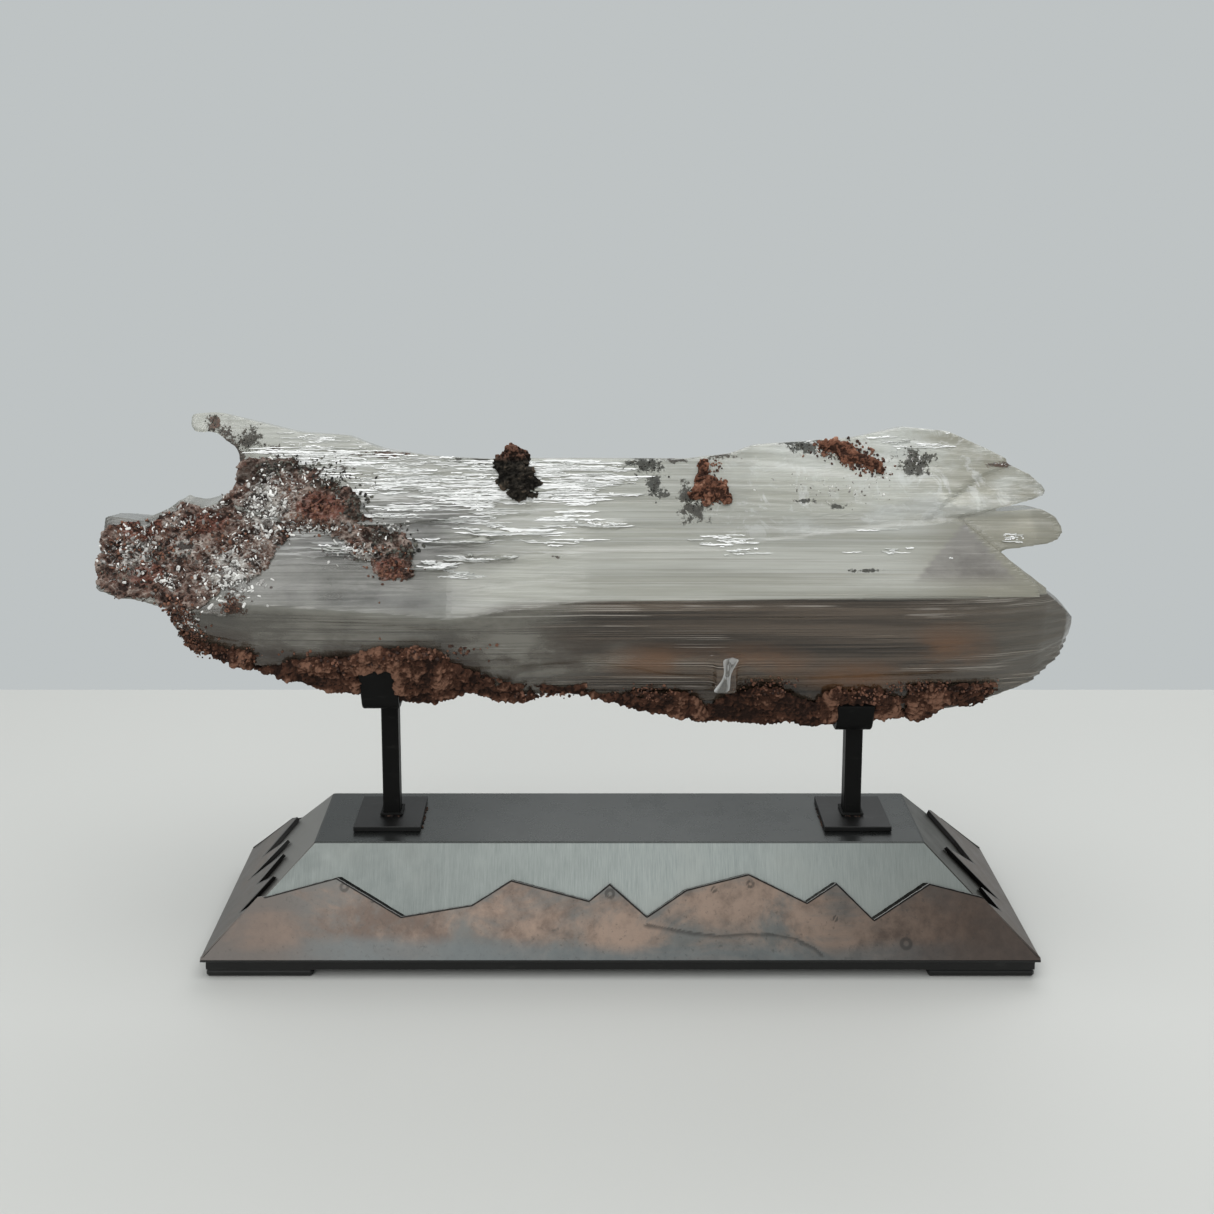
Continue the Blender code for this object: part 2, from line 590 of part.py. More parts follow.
def make_laths(collection, grow):
    """Thin pointed laths along the crystal that stand a little out of the upper face."""
    rng = random.Random(7)
    prefix = "envelope_" if grow else ""
    for number in range(LATH_FIELD["count"]):
        middle_x = rng.uniform(*LATH_FIELD["x"])
        low, high = LATH_FIELD["z"]
        middle_z = low + (high - low) * (number + 0.5) / LATH_FIELD["count"]
        length = rng.uniform(0.018, 0.042)
        width = rng.uniform(0.0014, 0.0028)
        proud = rng.uniform(0.0004, 0.0008)
        sections = []
        for share, size in ((-0.02 * bool(grow), 0.15), (0.25, 0.9), (0.8, 1.0), (1.0 + 0.02 * bool(grow), 0.2)):
            height = middle_z + 0.001 * (share - 0.5)
            under = height - width * size / 2 - grow
            over = height + width * size / 2 + grow
            points = [
                (upper_face_y(over) - proud * 0.5 * size - grow, over), (upper_face_y(under) - proud * size - grow, under),
                (upper_face_y(under) + LATH_DEPTH, under), (upper_face_y(over) + LATH_DEPTH, over),
            ]
            sections.append((middle_x + length * (share - 0.5), points))
        loft(f"{prefix}lath_{number:02d}", sections, None, collection)


def make_chip(collection, grow):
    """A small clear chip, waisted like an hourglass, grown on the lower front face."""
    prefix = "envelope_" if grow else ""
    sections = []
    for share, half in ((0.0, 0.0030), (0.25, 0.0048), (0.75, 0.0050), (1.0, 0.0032)):
        outward = half + grow
        points = [
            (-0.0352 - grow, 0.1740 + grow), (-0.0330 - 0.3 * outward, 0.1640), (-0.0300 - outward, 0.1520 - grow),
            (-0.0200, 0.1520 - grow), (-0.0250, 0.1740 + grow),
        ]
        sections.append((0.0520 - grow + (0.0120 + 2 * grow) * share, points))
    loft(prefix + "clear_chip", sections, None, collection)


def make_bite(collection):
    """The scooped hollow under the horn, a round hole right through from front to back."""
    bm = bmesh.new()
    bmesh.ops.create_cone(bm, cap_ends=True, segments=20, radius1=BITE_RADIUS, radius2=BITE_RADIUS * 1.05, depth=0.20)
    bmesh.ops.rotate(bm, cent=(0, 0, 0), matrix=Matrix.Rotation(math.pi / 2, 3, "X"), verts=bm.verts)
    bite = from_bmesh("bite", bm, None, collection)
    bite.location = (BITE_CENTRE[0], 0.0, BITE_CENTRE[1])


def make_crystal():
    sections = [(station[0], main_section(station, 0.0, 3)) for station in MAIN_STATIONS]
    crystal = loft("crystal", sections, SELENITE, PIECES)
    for collection, grow in ((BLADE_GROUP, 0.0), (ENVELOPE, GAP)):
        make_blades(collection, grow)
        make_laths(collection, grow)
        make_chip(collection, grow)
    # The exact solver leaves doubled edges where flat ends and thin ledges meet, and this one doesn't
    boolean(crystal, "UNION", BLADE_GROUP, "MANIFOLD")
    bite_group = add_collection("bite_group")
    make_bite(bite_group)
    boolean(crystal, "DIFFERENCE", bite_group, "MANIFOLD")
    # The crusts are cut by the same crystal, grown by the gap
    grown = [(station[0], main_section(station, GAP, 3)) for station in MAIN_STATIONS]
    grown[0] = (grown[0][0] - GAP, grown[0][1])
    grown[-1] = (grown[-1][0] + GAP, grown[-1][1])
    loft("envelope_main", grown, None, ENVELOPE)
    return crystal.evaluated_get(bpy.context.evaluated_depsgraph_get())


# Crusts and clods
def along(table, x):
    """Reads a value between the named places of a table."""
    for (x0, value0), (x1, value1) in zip(table, table[1:]):
        if x <= x1:
            share = min(1.0, max(0.0, (x - x0) / (x1 - x0)))
            return value0 + (value1 - value0) * share
    return table[-1][1]


def main_at(x):
    """The main crystal's heights and half depth at x: top, ridge, bottom, half."""
    return [along([(station[0], station[index]) for station in MAIN_STATIONS], x) for index in (1, 2, 3, 4)]


def lower_face_y(x, z, side):
    """Where the main crystal's face below the ridge lies at x and height z, in front (-1) or behind (1)."""
    _, ridge, bottom, half = main_at(x)
    scale = half / FULL_HALF
    facet = ridge - FACET_SHARE * (ridge - bottom)
    lift = ridge - (BACK_DROP * scale if side > 0 else 0.0)
    across = half - LOWER_LEAN * (lift - max(z, facet)) * scale - UNDER_LEAN * max(0.0, facet - z)
    return side * across


def lump(bm, middle, radius, flat=(1.0, 1.0, 1.0)):
    """Adds a rough ball."""
    ball = bmesh.ops.create_icosphere(bm, subdivisions=1, radius=1.0)
    for vertex in ball["verts"]:
        way = vertex.co.copy()
        rough = 1.0 + 0.30 * noise.noise(way * 1.7 + middle * 400.0)
        vertex.co = middle + Vector((way.x * flat[0], way.y * flat[1], way.z * flat[2])) * radius * rough


def fused(name, bm, voxel, keep_faces, look, cut_by):
    """Joins overlapping lumps in one solid of about keep_faces triangles, cuts it and keeps the largest body."""
    obj = from_bmesh(name, bm, look)
    fuse = obj.modifiers.new("Fuse", "REMESH")
    fuse.mode = "VOXEL"
    fuse.voxel_size = voxel
    count = len(obj.evaluated_get(bpy.context.evaluated_depsgraph_get()).data.polygons) * 2
    thin = obj.modifiers.new("Fewer faces", "DECIMATE")
    thin.ratio = min(1.0, keep_faces / count)
    for collection in cut_by:
        boolean(obj, "DIFFERENCE", collection, "MANIFOLD")
    whole = bpy.data.meshes.new_from_object(obj.evaluated_get(bpy.context.evaluated_depsgraph_get()))
    obj.modifiers.clear()
    obj.data = whole
    keep_largest(whole)
    return obj


def keep_largest(mesh):
    """Keeps the largest body: faces that hang together through edges which two faces share."""
    bm = bmesh.new()
    bm.from_mesh(mesh)
    left = set(bm.faces)
    bodies = []
    while left:
        stack = [left.pop()]
        body = set(stack)
        while stack:
            face = stack.pop()
            for edge in face.edges:
                if len(edge.link_faces) != 2:
                    continue
                for other in edge.link_faces:
                    if other in left:
                        left.remove(other)
                        body.add(other)
                        stack.append(other)
        bodies.append(body)
    largest = max(bodies, key=len)
    bmesh.ops.delete(bm, geom=[face for face in bm.faces if face not in largest], context="FACES")
    bmesh.ops.remove_doubles(bm, verts=bm.verts, dist=1e-6)
    # An edge where the body only touches itself is drawn together to one point
    for _ in range(3):
        touching = [edge for edge in bm.edges if len(edge.link_faces) != 2]
        bmesh.ops.collapse(bm, edges=touching)
    bm.to_mesh(mesh)
    bm.free()


def make_underside_crust():
    """Lumps of clay under the crystal, up its front face to the crust's edge and up its back face as far."""
    rng = random.Random(11)
    bm = bmesh.new()
    x = CRUST_CLIMB[0][0]
    pitch = 0.0062
    while x < CRUST_CLIMB[-1][0]:
        _, _, bottom, half = main_at(x)
        climb = along(CRUST_CLIMB, x)
        thick = along(CRUST_THICK, x)
        front_low, back_low = lower_face_y(x, bottom, -1), lower_face_y(x, bottom, 1)
        floor = [(front_low + (back_low - front_low) * share, bottom) for share in (0.0, 0.25, 0.5, 0.75, 1.0)]
        steps = max(1, round(climb / pitch))
        climbs = [bottom + climb * (index + 1) / steps for index in range(steps)]
        walls = [(lower_face_y(x, z, side), z) for z in climbs for side in (-1, 1)]
        for across, height in floor + walls:
            radius = thick * rng.uniform(0.75, 1.15)
            shift = Vector([rng.uniform(-0.0016, 0.0016) for _ in range(3)])
            lump(bm, Vector((x, across, height)) + shift, radius)
        x += pitch * 0.85
    return fused("underside_crust", bm, 0.0027, 1150, CLAY, (ENVELOPE, STRAP_SPACE))


def inside(outline, x, z):
    """Whether a point lies in an outline, by counting the edges to its right."""
    odd = False
    for (x0, z0), (x1, z1) in zip(outline, outline[1:] + outline[:1]):
        if (z0 > z) != (z1 > z) and x < x0 + (x1 - x0) * (z - z0) / (z1 - z0):
            odd = not odd
    return odd


def front_of(crystal, x, z):
    """Where the crystal's front surface lies at x and height z, or None beside it."""
    start = Vector((x, -0.2, z))
    hit, point, _, _ = crystal.ray_cast(start, Vector((0.0, 1.0, 0.0)))
    return point.y if hit else None


def make_end_crust(crystal, bite_group):
    """Clay and small crystals over the broken end and below the horn, as lumps on the front face."""
    rng = random.Random(8)
    bm = bmesh.new()
    pitch = 0.0046
    left, right = min(END_CRUST)[0], max(END_CRUST)[0]
    low = min(z for _, z in END_CRUST)
    high = max(z for _, z in END_CRUST)
    for column in range(math.ceil((right - left) / pitch)):
        for row in range(math.ceil((high - low) / pitch)):
            x = left + column * pitch + rng.uniform(-0.0014, 0.0014)
            z = low + row * pitch + rng.uniform(-0.0014, 0.0014)
            face = front_of(crystal, x, z)
            if face is None or not inside(END_CRUST, x, z):
                continue
            radius = rng.uniform(0.0040, 0.0058)
            lump(bm, Vector((x, face + 0.0008, z)), radius, (1.0, 0.60, 0.8))
    return fused("end_crust", bm, 0.0022, 1000, DARK_CLAY, (ENVELOPE, bite_group))


def make_clods(crystal):
    for name, lumps in CLODS.items():
        bm = bmesh.new()
        for x, z, radius in lumps:
            face = front_of(crystal, x, z)
            face = upper_face_y(z) if face is None else face
            lump(bm, Vector((x, face - 0.0004, z)), radius, (1.0, 0.62, 1.0))
        look = DARK_CLAY if name == "dark_clod" else CLAY
        fused(name, bm, 0.0012, 180, look, (ENVELOPE,))


make_foot()
make_body()
make_claddings()
make_carriers()
CRYSTAL = make_crystal()
make_underside_crust()
make_end_crust(CRYSTAL, bpy.data.collections["bite_group"])
make_clods(CRYSTAL)
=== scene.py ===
# %% [markdown]
# Selenite crystal blade on its stand
#
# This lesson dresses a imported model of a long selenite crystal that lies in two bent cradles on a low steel
# stand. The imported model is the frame: each of its nodes is where the real piece is. Metal pieces with the
# right shape keep their mesh and get a finish. The crystal, the clay and the patterned sheets are made
# again with finer surfaces.

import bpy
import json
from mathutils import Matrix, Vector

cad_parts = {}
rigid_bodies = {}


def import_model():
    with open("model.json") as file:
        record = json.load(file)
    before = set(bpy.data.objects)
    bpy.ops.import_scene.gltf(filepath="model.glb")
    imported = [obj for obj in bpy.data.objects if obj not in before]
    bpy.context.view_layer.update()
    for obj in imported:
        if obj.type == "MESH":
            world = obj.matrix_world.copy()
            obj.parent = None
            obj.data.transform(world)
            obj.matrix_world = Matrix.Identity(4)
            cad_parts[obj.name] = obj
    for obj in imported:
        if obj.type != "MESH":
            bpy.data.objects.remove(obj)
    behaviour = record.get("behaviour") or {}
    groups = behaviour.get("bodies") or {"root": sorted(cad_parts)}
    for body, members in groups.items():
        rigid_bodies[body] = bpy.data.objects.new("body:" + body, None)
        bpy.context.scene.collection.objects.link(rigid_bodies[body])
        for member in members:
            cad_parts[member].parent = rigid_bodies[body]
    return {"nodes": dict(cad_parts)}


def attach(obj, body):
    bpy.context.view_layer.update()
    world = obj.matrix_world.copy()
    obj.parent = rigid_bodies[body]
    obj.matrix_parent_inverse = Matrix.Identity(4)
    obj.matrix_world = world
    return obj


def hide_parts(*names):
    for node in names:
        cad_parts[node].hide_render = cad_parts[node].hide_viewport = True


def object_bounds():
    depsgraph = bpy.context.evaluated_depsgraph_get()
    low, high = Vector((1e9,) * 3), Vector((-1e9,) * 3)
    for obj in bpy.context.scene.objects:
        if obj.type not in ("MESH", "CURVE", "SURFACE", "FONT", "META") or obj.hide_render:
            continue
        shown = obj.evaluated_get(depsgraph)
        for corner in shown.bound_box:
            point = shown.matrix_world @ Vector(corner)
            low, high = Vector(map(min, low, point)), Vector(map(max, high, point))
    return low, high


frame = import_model()
CAD_BOX = [list(corner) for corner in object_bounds()]

import json
import math

import bmesh
import bpy
import numpy as np
from mathutils import Matrix, Vector

print("frame box in metres:", [[round(value, 4) for value in corner] for corner in CAD_BOX])

# %% [markdown]
# The camera stands a little left of the stand's middle, 0.77 m in front of it and 0.45 m up, and looks down
# by 8.6 degrees. The picture was cut from the lower part of a wider view, so the lens is shifted down. The
# picture is 1214 pixels wide, and the lens follows from the focal length in pixels.

# %% Camera
STAND_X = 0.0150
PICTURE = 1214
FOCAL_PIXELS = 1413.5
CENTRE_PIXEL = (590.0, 354.7)
SENSOR = 36.0
CAMERA_PLACE = (STAND_X - 0.0165, -0.7708, 0.4512)
LOOK_DOWN = 0.15


def make_camera():
    """A camera whose lens and shift follow from the focal length and centre in pixels."""
    data = bpy.data.cameras.new("camera")
    data.sensor_width = SENSOR
    data.lens = FOCAL_PIXELS * SENSOR / PICTURE
    data.shift_x = 0.5 - CENTRE_PIXEL[0] / PICTURE
    data.shift_y = CENTRE_PIXEL[1] / PICTURE - 0.5
    data.clip_start, data.clip_end = 0.01, 50.0
    camera = bpy.data.objects.new("camera", data)
    camera.location = CAMERA_PLACE
    camera.rotation_euler = (math.pi / 2 - LOOK_DOWN, 0.0, 0.0)
    bpy.context.scene.collection.objects.link(camera)
    bpy.context.scene.camera = camera
    return camera


CAMERA = make_camera()
SHIFT = round(CAMERA.data.shift_x, 3), round(CAMERA.data.shift_y, 3)
print("lens:", round(CAMERA.data.lens, 2), "mm, shift:", *SHIFT)

# %% [markdown]
# Mineral surfaces are never smooth, so many shapes below are moved by noise. This noise is worked out on
# whole arrays: each corner of a grid of cells has a fixed random number, and a point between the corners
# gets their smooth mean. Cells may be longer along the crystal than across it, which gives streaks.

# %% Array helpers
SAME_POINT, SHEET_MERGE = 1e-6, 2e-5
MIX_FACTORS = (73856093, 19349663, 83492791, 2654435761, 1274126177)


def lattice(cell, seed):
    """A fixed random number in 0..1 for each cell: its whole numbers and the seed, mixed by large factors."""
    by_x, by_y, by_z, by_seed, again = MIX_FACTORS
    mixed = (cell[..., 0] * by_x) ^ (cell[..., 1] * by_y) ^ (cell[..., 2] * by_z) ^ (seed * by_seed)
    mixed = (mixed ^ (mixed >> 13)) * again
    return ((mixed ^ (mixed >> 16)) & 0xFFFFFF) / 0xFFFFFF


def cell_noise(points, size, seed):
    """Smooth noise in -1..1: the eight corners' numbers weighted by the smoothed place inside the cell."""
    place = points / np.asarray(size, float)
    cell = np.floor(place).astype(np.int64)
    share = place - cell
    share = share * share * (3.0 - 2.0 * share)
    total = np.zeros(len(points))
    for corner in np.ndindex(2, 2, 2):
        corner = np.array(corner)
        weight = np.prod(np.where(corner == 1, share, 1.0 - share), axis=1)
        total += weight * lattice(cell + corner, seed)
    return total * 2.0 - 1.0


def rough_noise(points, size, octaves, seed):
    """Sum of noises, each with half the cell size and half the height of the one before."""
    size = np.asarray(size, float) * np.ones(3)
    return sum(cell_noise(points, size / 2**level, seed + level) / 2**level for level in range(octaves))


def smooth_step(values, low, high):
    """0 below low, 1 above high, and an even s-shaped way between."""
    share = np.clip((values - low) / (high - low), 0.0, 1.0)
    return share * share * (3.0 - 2.0 * share)


def points_of(mesh, kind="co"):
    """All vertex points of a mesh as rows of an array."""
    values = np.empty(len(mesh.vertices) * 3, np.float32)
    mesh.vertices.foreach_get(kind, values)
    return values.reshape(-1, 3).astype(float)


def normals_of(mesh):
    return points_of(mesh, "normal")


def set_points(mesh, points):
    mesh.vertices.foreach_set("co", points.astype(np.float32).ravel())
    mesh.update()


def set_mask(mesh, name, values):
    """Keeps one number for each vertex under a name that a material can read."""
    layer = mesh.attributes.new(name, "FLOAT", "POINT")
    layer.data.foreach_set("value", values.astype(np.float32))


def face_place(points):
    """Each point's x, counted from the stand's middle, and its height."""
    return points[:, 0] - STAND_X, points[:, 2]


def clean_mesh(mesh, near, outward=True, fill=False):
    """Merges points that meet, fills holes when asked, turns the faces outward. Gives the open edges left."""
    clean = bmesh.new()
    clean.from_mesh(mesh)
    bmesh.ops.remove_doubles(clean, verts=clean.verts, dist=near)
    if fill:
        bmesh.ops.holes_fill(clean, edges=[edge for edge in clean.edges if edge.is_boundary])
    if outward:
        bmesh.ops.recalc_face_normals(clean, faces=clean.faces)
    open_edges = sum(edge.is_boundary for edge in clean.edges)
    clean.to_mesh(mesh)
    clean.free()
    return open_edges


def rows_for_each(places):
    """Each place's row, repeated by the number in its fifth column."""
    return np.concatenate([np.repeat([place], place[4], axis=0) for place in places])


def add_piece(name, mesh, replaced=()):
    """Puts a finished mesh in the scene as a piece that moves with the frame's only body."""
    piece = bpy.data.objects.new(name, mesh)
    bpy.context.scene.collection.objects.link(piece)
    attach(piece, "root")
    if replaced:
        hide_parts(*replaced)
    return piece


def grid_mesh(name, points, closed_u=False):
    """A mesh from a grid of points, rows by columns: each face joins four neighbours."""
    rows, columns = points.shape[:2]
    index = np.arange(rows * columns).reshape(rows, columns)
    after = np.roll(index, -1, axis=1) if closed_u else index[:, 1:]
    here = index if closed_u else index[:, :-1]
    quads = np.stack([here[:-1], after[:-1], after[1:], here[1:]], axis=-1).reshape(-1, 4)
    mesh = bpy.data.meshes.new(name)
    mesh.from_pydata(points.reshape(-1, 3), [], quads.tolist())
    return mesh


print("two numbers of the lattice:", lattice(np.array([[0, 0, 1], [0, 0, 2]]), 1).round(3))

# %% [markdown]
# The studio is a pale floor under a soft pale sky. A wide soft lamp above and in front gives the crystal
# its milky sheen, and a weaker one at the left and one behind draw light lines along its edges.

# %% Floor and light
FLOOR_HALF_X, FLOOR_HALF_Y, FLOOR_MIDDLE_Y = 3.0, 1.9, -1.55
CORNER_POWER = 12


def make_floor():
    """A flat sheet whose outline is |x|^12 + |y|^12 = 1 drawn out: a rectangle with rounded corners."""
    turn = np.linspace(0.0, 2 * math.pi, 97)[:-1]
    sides = np.abs(np.cos(turn)) ** CORNER_POWER + np.abs(np.sin(turn)) ** CORNER_POWER
    reach = 1.0 / sides ** (1 / CORNER_POWER)
    shares = np.linspace(0.0, 1.0, 3)[:, None]
    x = shares * reach * np.cos(turn) * FLOOR_HALF_X
    y = shares * reach * np.sin(turn) * FLOOR_HALF_Y + FLOOR_MIDDLE_Y
    points = np.stack([x, y, np.zeros_like(x)], axis=-1)
    floor = bpy.data.objects.new("floor", grid_mesh("floor", points, closed_u=True))
    bpy.context.scene.collection.objects.link(floor)
    return floor


def make_lamp(name, place, aim, size, power, colour=(1.0, 1.0, 1.0)):
    """A soft rectangular lamp at a place, turned to the point that it aims at."""
    data = bpy.data.lights.new(name, "AREA")
    data.shape = "RECTANGLE"
    data.size, data.size_y = size
    data.energy = power
    data.color = colour
    lamp = bpy.data.objects.new(name, data)
    lamp.location = place
    lamp.rotation_euler = (Vector(aim) - Vector(place)).to_track_quat("-Z", "Y").to_euler()
    bpy.context.scene.collection.objects.link(lamp)


FLOOR = make_floor()
make_lamp("soft_top", (0.0, -0.25, 1.5), (0.0, 0.0, 0.15), (1.8, 1.1), 13.0)
make_lamp("soft_front", (-0.7, -1.5, 1.1), (0.0, 0.0, 0.15), (1.2, 0.9), 9.0, (1.0, 0.99, 0.97))
make_lamp("soft_back", (0.4, 1.0, 1.2), (0.0, 0.0, 0.2), (1.4, 0.8), 6.0)

world = bpy.data.worlds.new("pale_studio")
world.use_nodes = True
world.node_tree.nodes["Background"].inputs["Color"].default_value = (0.515, 0.545, 0.55, 1.0)
world.node_tree.nodes["Background"].inputs["Strength"].default_value = 1.0
bpy.context.scene.world = world
bpy.context.scene.view_settings.view_transform = "Standard"
print("lamps:", len(bpy.data.lights))

# %% [markdown]
# Each finish below is a small tree of shader nodes. These helpers write such a tree in short lines: they
# add a node, set its plain values and link what comes from another node. What several finishes share, such
# as worn edges or grit, is a node group with named inputs and outputs. It is built once and placed in each
# finish.

# %% A short way to write shader nodes
class Tree:
    """A tree of shader nodes and a short way to add to it. Its place is the socket that its noises read."""

    def __init__(self, tree):
        self.tree = tree

    def add(self, kind, settings=None, **inputs):
        """A node with its settings and inputs. An input is a name, or i and its number."""
        node = self.tree.nodes.new("ShaderNode" + kind)
        for key, value in (settings or {}).items():
            setattr(node, key, value)
        for key, value in inputs.items():
            self.feed(node.inputs[int(key[1:]) if key[0] == "i" and key[1:].isdigit() else key], value)
        return node

    def feed(self, socket, value):
        """Links a socket to another node's output, or sets its plain value."""
        if isinstance(value, bpy.types.NodeSocket):
            self.tree.links.new(value, socket)
        elif socket.type == "RGBA" and len(value) == 3:
            socket.default_value = (*value, 1.0)
        else:
            socket.default_value = value

    def noise(self, scale, stretch=(1.0, 1.0, 1.0), turn=(0.0, 0.0, 0.0), detail=4.0, roughness=0.55,
              distortion=0.0):
        """Noise in about 0..1 with its cells drawn out by stretch and turned."""
        mapped = self.add("Mapping", None, Vector=self.place, Rotation=turn, Scale=stretch).outputs[0]
        inputs = dict(Vector=mapped, Scale=scale, Detail=detail, Roughness=roughness, Distortion=distortion)
        return self.add("TexNoise", None, **inputs).outputs["Fac"]

    def band(self, value, low, high):
        """0 below low, 1 above high."""
        node = self.add("MapRange", dict(interpolation_type="SMOOTHSTEP"), Value=value)
        self.feed(node.inputs["From Min"], low)
        self.feed(node.inputs["From Max"], high)
        return node.outputs[0]

    def maths(self, operation, first, second=0.0, third=0.0):
        return self.add("Math", dict(operation=operation), i0=first, i1=second, i2=third).outputs[0]

    def mix(self, share, first, second):
        return self.add("Mix", dict(data_type="RGBA"), i0=share, i6=first, i7=second).outputs[2]

    def layer(self, under, over, mask, amount):
        """Lays a colour over another where the mask is high, up to the amount."""
        return self.mix(self.maths("MULTIPLY", mask, amount), under, over)

    def bump(self, height, distance, strength=1.0, before=None):
        node = self.add("Bump", None, Height=height, Distance=distance, Strength=strength)
        if before is not None:
            self.feed(node.inputs["Normal"], before)
        return node.outputs[0]


class Finish(Tree):
    """A material. Its noises read the object's own coordinates."""

    def __init__(self, name, roughness=0.5, metallic=0.0, **plain):
        self.material = bpy.data.materials.new(name)
        self.material.use_nodes = True
        super().__init__(self.material.node_tree)
        self.shader = self.tree.nodes["Principled BSDF"]
        self.shader.inputs["Roughness"].default_value = roughness
        self.shader.inputs["Metallic"].default_value = metallic
        for socket, value in plain.items():
            self.shader.inputs[socket.replace("_", " ")].default_value = value
        self.place = self.add("TexCoord").outputs["Object"]

    def into(self, socket, value):
        self.feed(self.shader.inputs[socket], value)

    def mask(self, name):
        """The number that set_mask kept for each vertex."""
        return self.add("Attribute", dict(attribute_name=name)).outputs["Fac"]

    def axes(self):
        return self.add("SeparateXYZ", None, Vector=self.place).outputs

    def effect(self, group, **inputs):
        """Places a node group in this material with the material's own values. Gives its outputs."""
        return self.add("Group", dict(node_tree=group), **inputs).outputs


# Usual values of a group's inputs
ORIGIN, BLACK, WHITE = (0.0, 0.0, 0.0), (0.0, 0.0, 0.0, 1.0), (1.0, 1.0, 1.0, 1.0)


class Effect(Tree):
    """A node group that several materials share. Each input is a name and its usual value."""

    def __init__(self, name, **usual):
        super().__init__(bpy.data.node_groups.new(name, "ShaderNodeTree"))
        kinds = {1: "NodeSocketFloat", 3: "NodeSocketVector", 4: "NodeSocketColor"}
        for name, value in usual.items():
            kind = kinds[np.size(value)]
            self.tree.interface.new_socket(name, in_out="INPUT", socket_type=kind).default_value = value
        self.given = self.tree.nodes.new("NodeGroupInput").outputs
        self.place = self.given.get("Place")

    def give(self, **outputs):
        """Names the group's outputs and links each to its value."""
        for name, value in outputs.items():
            kind = "NodeSocketColor" if value.type == "RGBA" else "NodeSocketFloat"
            self.tree.interface.new_socket(name, in_out="OUTPUT", socket_type=kind)
        result = self.tree.nodes.new("NodeGroupOutput")
        for name, value in outputs.items():
            self.tree.links.new(value, result.inputs[name])
        return self.tree


FLOOR_FINISH = Finish("pale_floor", roughness=0.55)
FLOOR_FINISH.into("Base Color", (0.56, 0.56, 0.54))
FLOOR.data.materials.append(FLOOR_FINISH.material)
print("floor finish:", len(FLOOR_FINISH.tree.nodes), "shader nodes")

# %% [markdown]
# Wherever steel is handled, its coat wears through along the edges first, and the edges also catch the
# light: the lighter edges are real wear and a painted highlight in one. A cut or painted line on each edge
# would have to follow every shape. Instead the true normal is set against a normal that is rounded within
# a small radius: they differ only near an edge.

# %% Edge wear and painted highlight, a node group for all steel
def make_edge_wear_and_highlight():
    """Lighter edges = band(1 - rounded normal . true normal): high where the surface turns within the radius.
    """
    effect = Effect("edge wear and highlight", Radius=0.0006, Low=0.02, High=0.25)
    rounded = effect.add("Bevel", dict(samples=6), Radius=effect.given["Radius"]).outputs[0]
    true = effect.add("NewGeometry").outputs["Normal"]
    agree = effect.add("VectorMath", dict(operation="DOT_PRODUCT"), i0=rounded, i1=true).outputs["Value"]
    turned = effect.maths("SUBTRACT", 1.0, agree)
    return effect.give(Wear=effect.band(turned, effect.given["Low"], effect.given["High"]))


EDGE_WEAR_AND_HIGHLIGHT = make_edge_wear_and_highlight()
print("edge wear and highlight inputs:", [item.name for item in EDGE_WEAR_AND_HIGHLIGHT.interface.items_tree if item.in_out == "INPUT"])

# %% [markdown]
# The foot, the plates, posts and straps are steel with a thin satin black coat. Up close such a coat has a
# fine orange-peel grain, is a little lighter along its edges, which is real wear and a painted highlight in
# one, and shows a few dull places where fingers touched it. The posts and straps shine less than the foot,
# so the coat is a node group and each steel sets its own shine.

# %% Black steel
def make_black_coat():
    """Colour = black with clouds and scuffs, grey on edges: wear and painted highlight. Peel is a fine height.
    """
    effect = Effect("black coat", Place=ORIGIN, Wear=0.0)
    clouds = effect.noise(45.0, detail=5.0)
    scuffs = effect.band(effect.noise(260.0, stretch=(0.25, 1.0, 1.0), detail=6.0), 0.58, 0.75)
    coat = effect.mix(clouds, (0.0045, 0.0045, 0.0045), (0.011, 0.011, 0.0105))
    coat = effect.layer(coat, (0.040, 0.040, 0.037), scuffs, 0.30)
    colour = effect.layer(coat, (0.090, 0.090, 0.085), effect.given["Wear"], 0.45)
    dull = effect.maths("MULTIPLY_ADD", clouds, 0.22, 0.30)
    return effect.give(Colour=colour, Roughness=dull, Peel=effect.noise(1500.0, detail=2.0))


BLACK_COAT = make_black_coat()
PEEL_DEPTH = 0.00006


def make_black_steel(name, shine):
    """The black coat with lighter edges, wear and painted highlight, on steel that shines by its own amount.
    """
    finish = Finish(name, Specular_IOR_Level=shine)
    lighter_edges = finish.effect(EDGE_WEAR_AND_HIGHLIGHT, Radius=0.0006, Low=0.02, High=0.25)["Wear"]
    coat = finish.effect(BLACK_COAT, Place=finish.place, Wear=lighter_edges)
    finish.into("Base Color", coat["Colour"])
    finish.into("Roughness", coat["Roughness"])
    finish.into("Normal", finish.bump(coat["Peel"], PEEL_DEPTH, 0.5))
    return finish.material


BLACK_STEEL = make_black_steel("black_steel", 0.30)
POST_STEEL = make_black_steel("post_steel", 0.05)


def dress_node(node, material):
    """Gives a frame node a finish."""
    obj = frame["nodes"][node]
    obj.data.materials.clear()
    obj.data.materials.append(material)


BLACK_NODES = ["foot_pad_left", "foot_pad_right", "foot_board", "bottom_plate", "mount_plate_left"]
BLACK_NODES += ["mount_plate_right", "post_left", "post_right", "post_weld_left", "post_weld_right"]
BLACK_NODES += ["cradle_left", "cradle_right"]
for node in BLACK_NODES:
    dress_node(node, POST_STEEL if node.startswith(("post", "cradle")) else BLACK_STEEL)
print("black steel on", len(BLACK_NODES), "nodes")

# %% [markdown]
# The stand's body is one block with three looks: a dark grey satin top, warm grey ends, and long sides that
# were brushed up and down the slope and turned blue-green. The normal says which side a point is on, so one
# finish can hold all three.

# %% Stand body
STAND_TOP_Z = 0.0638


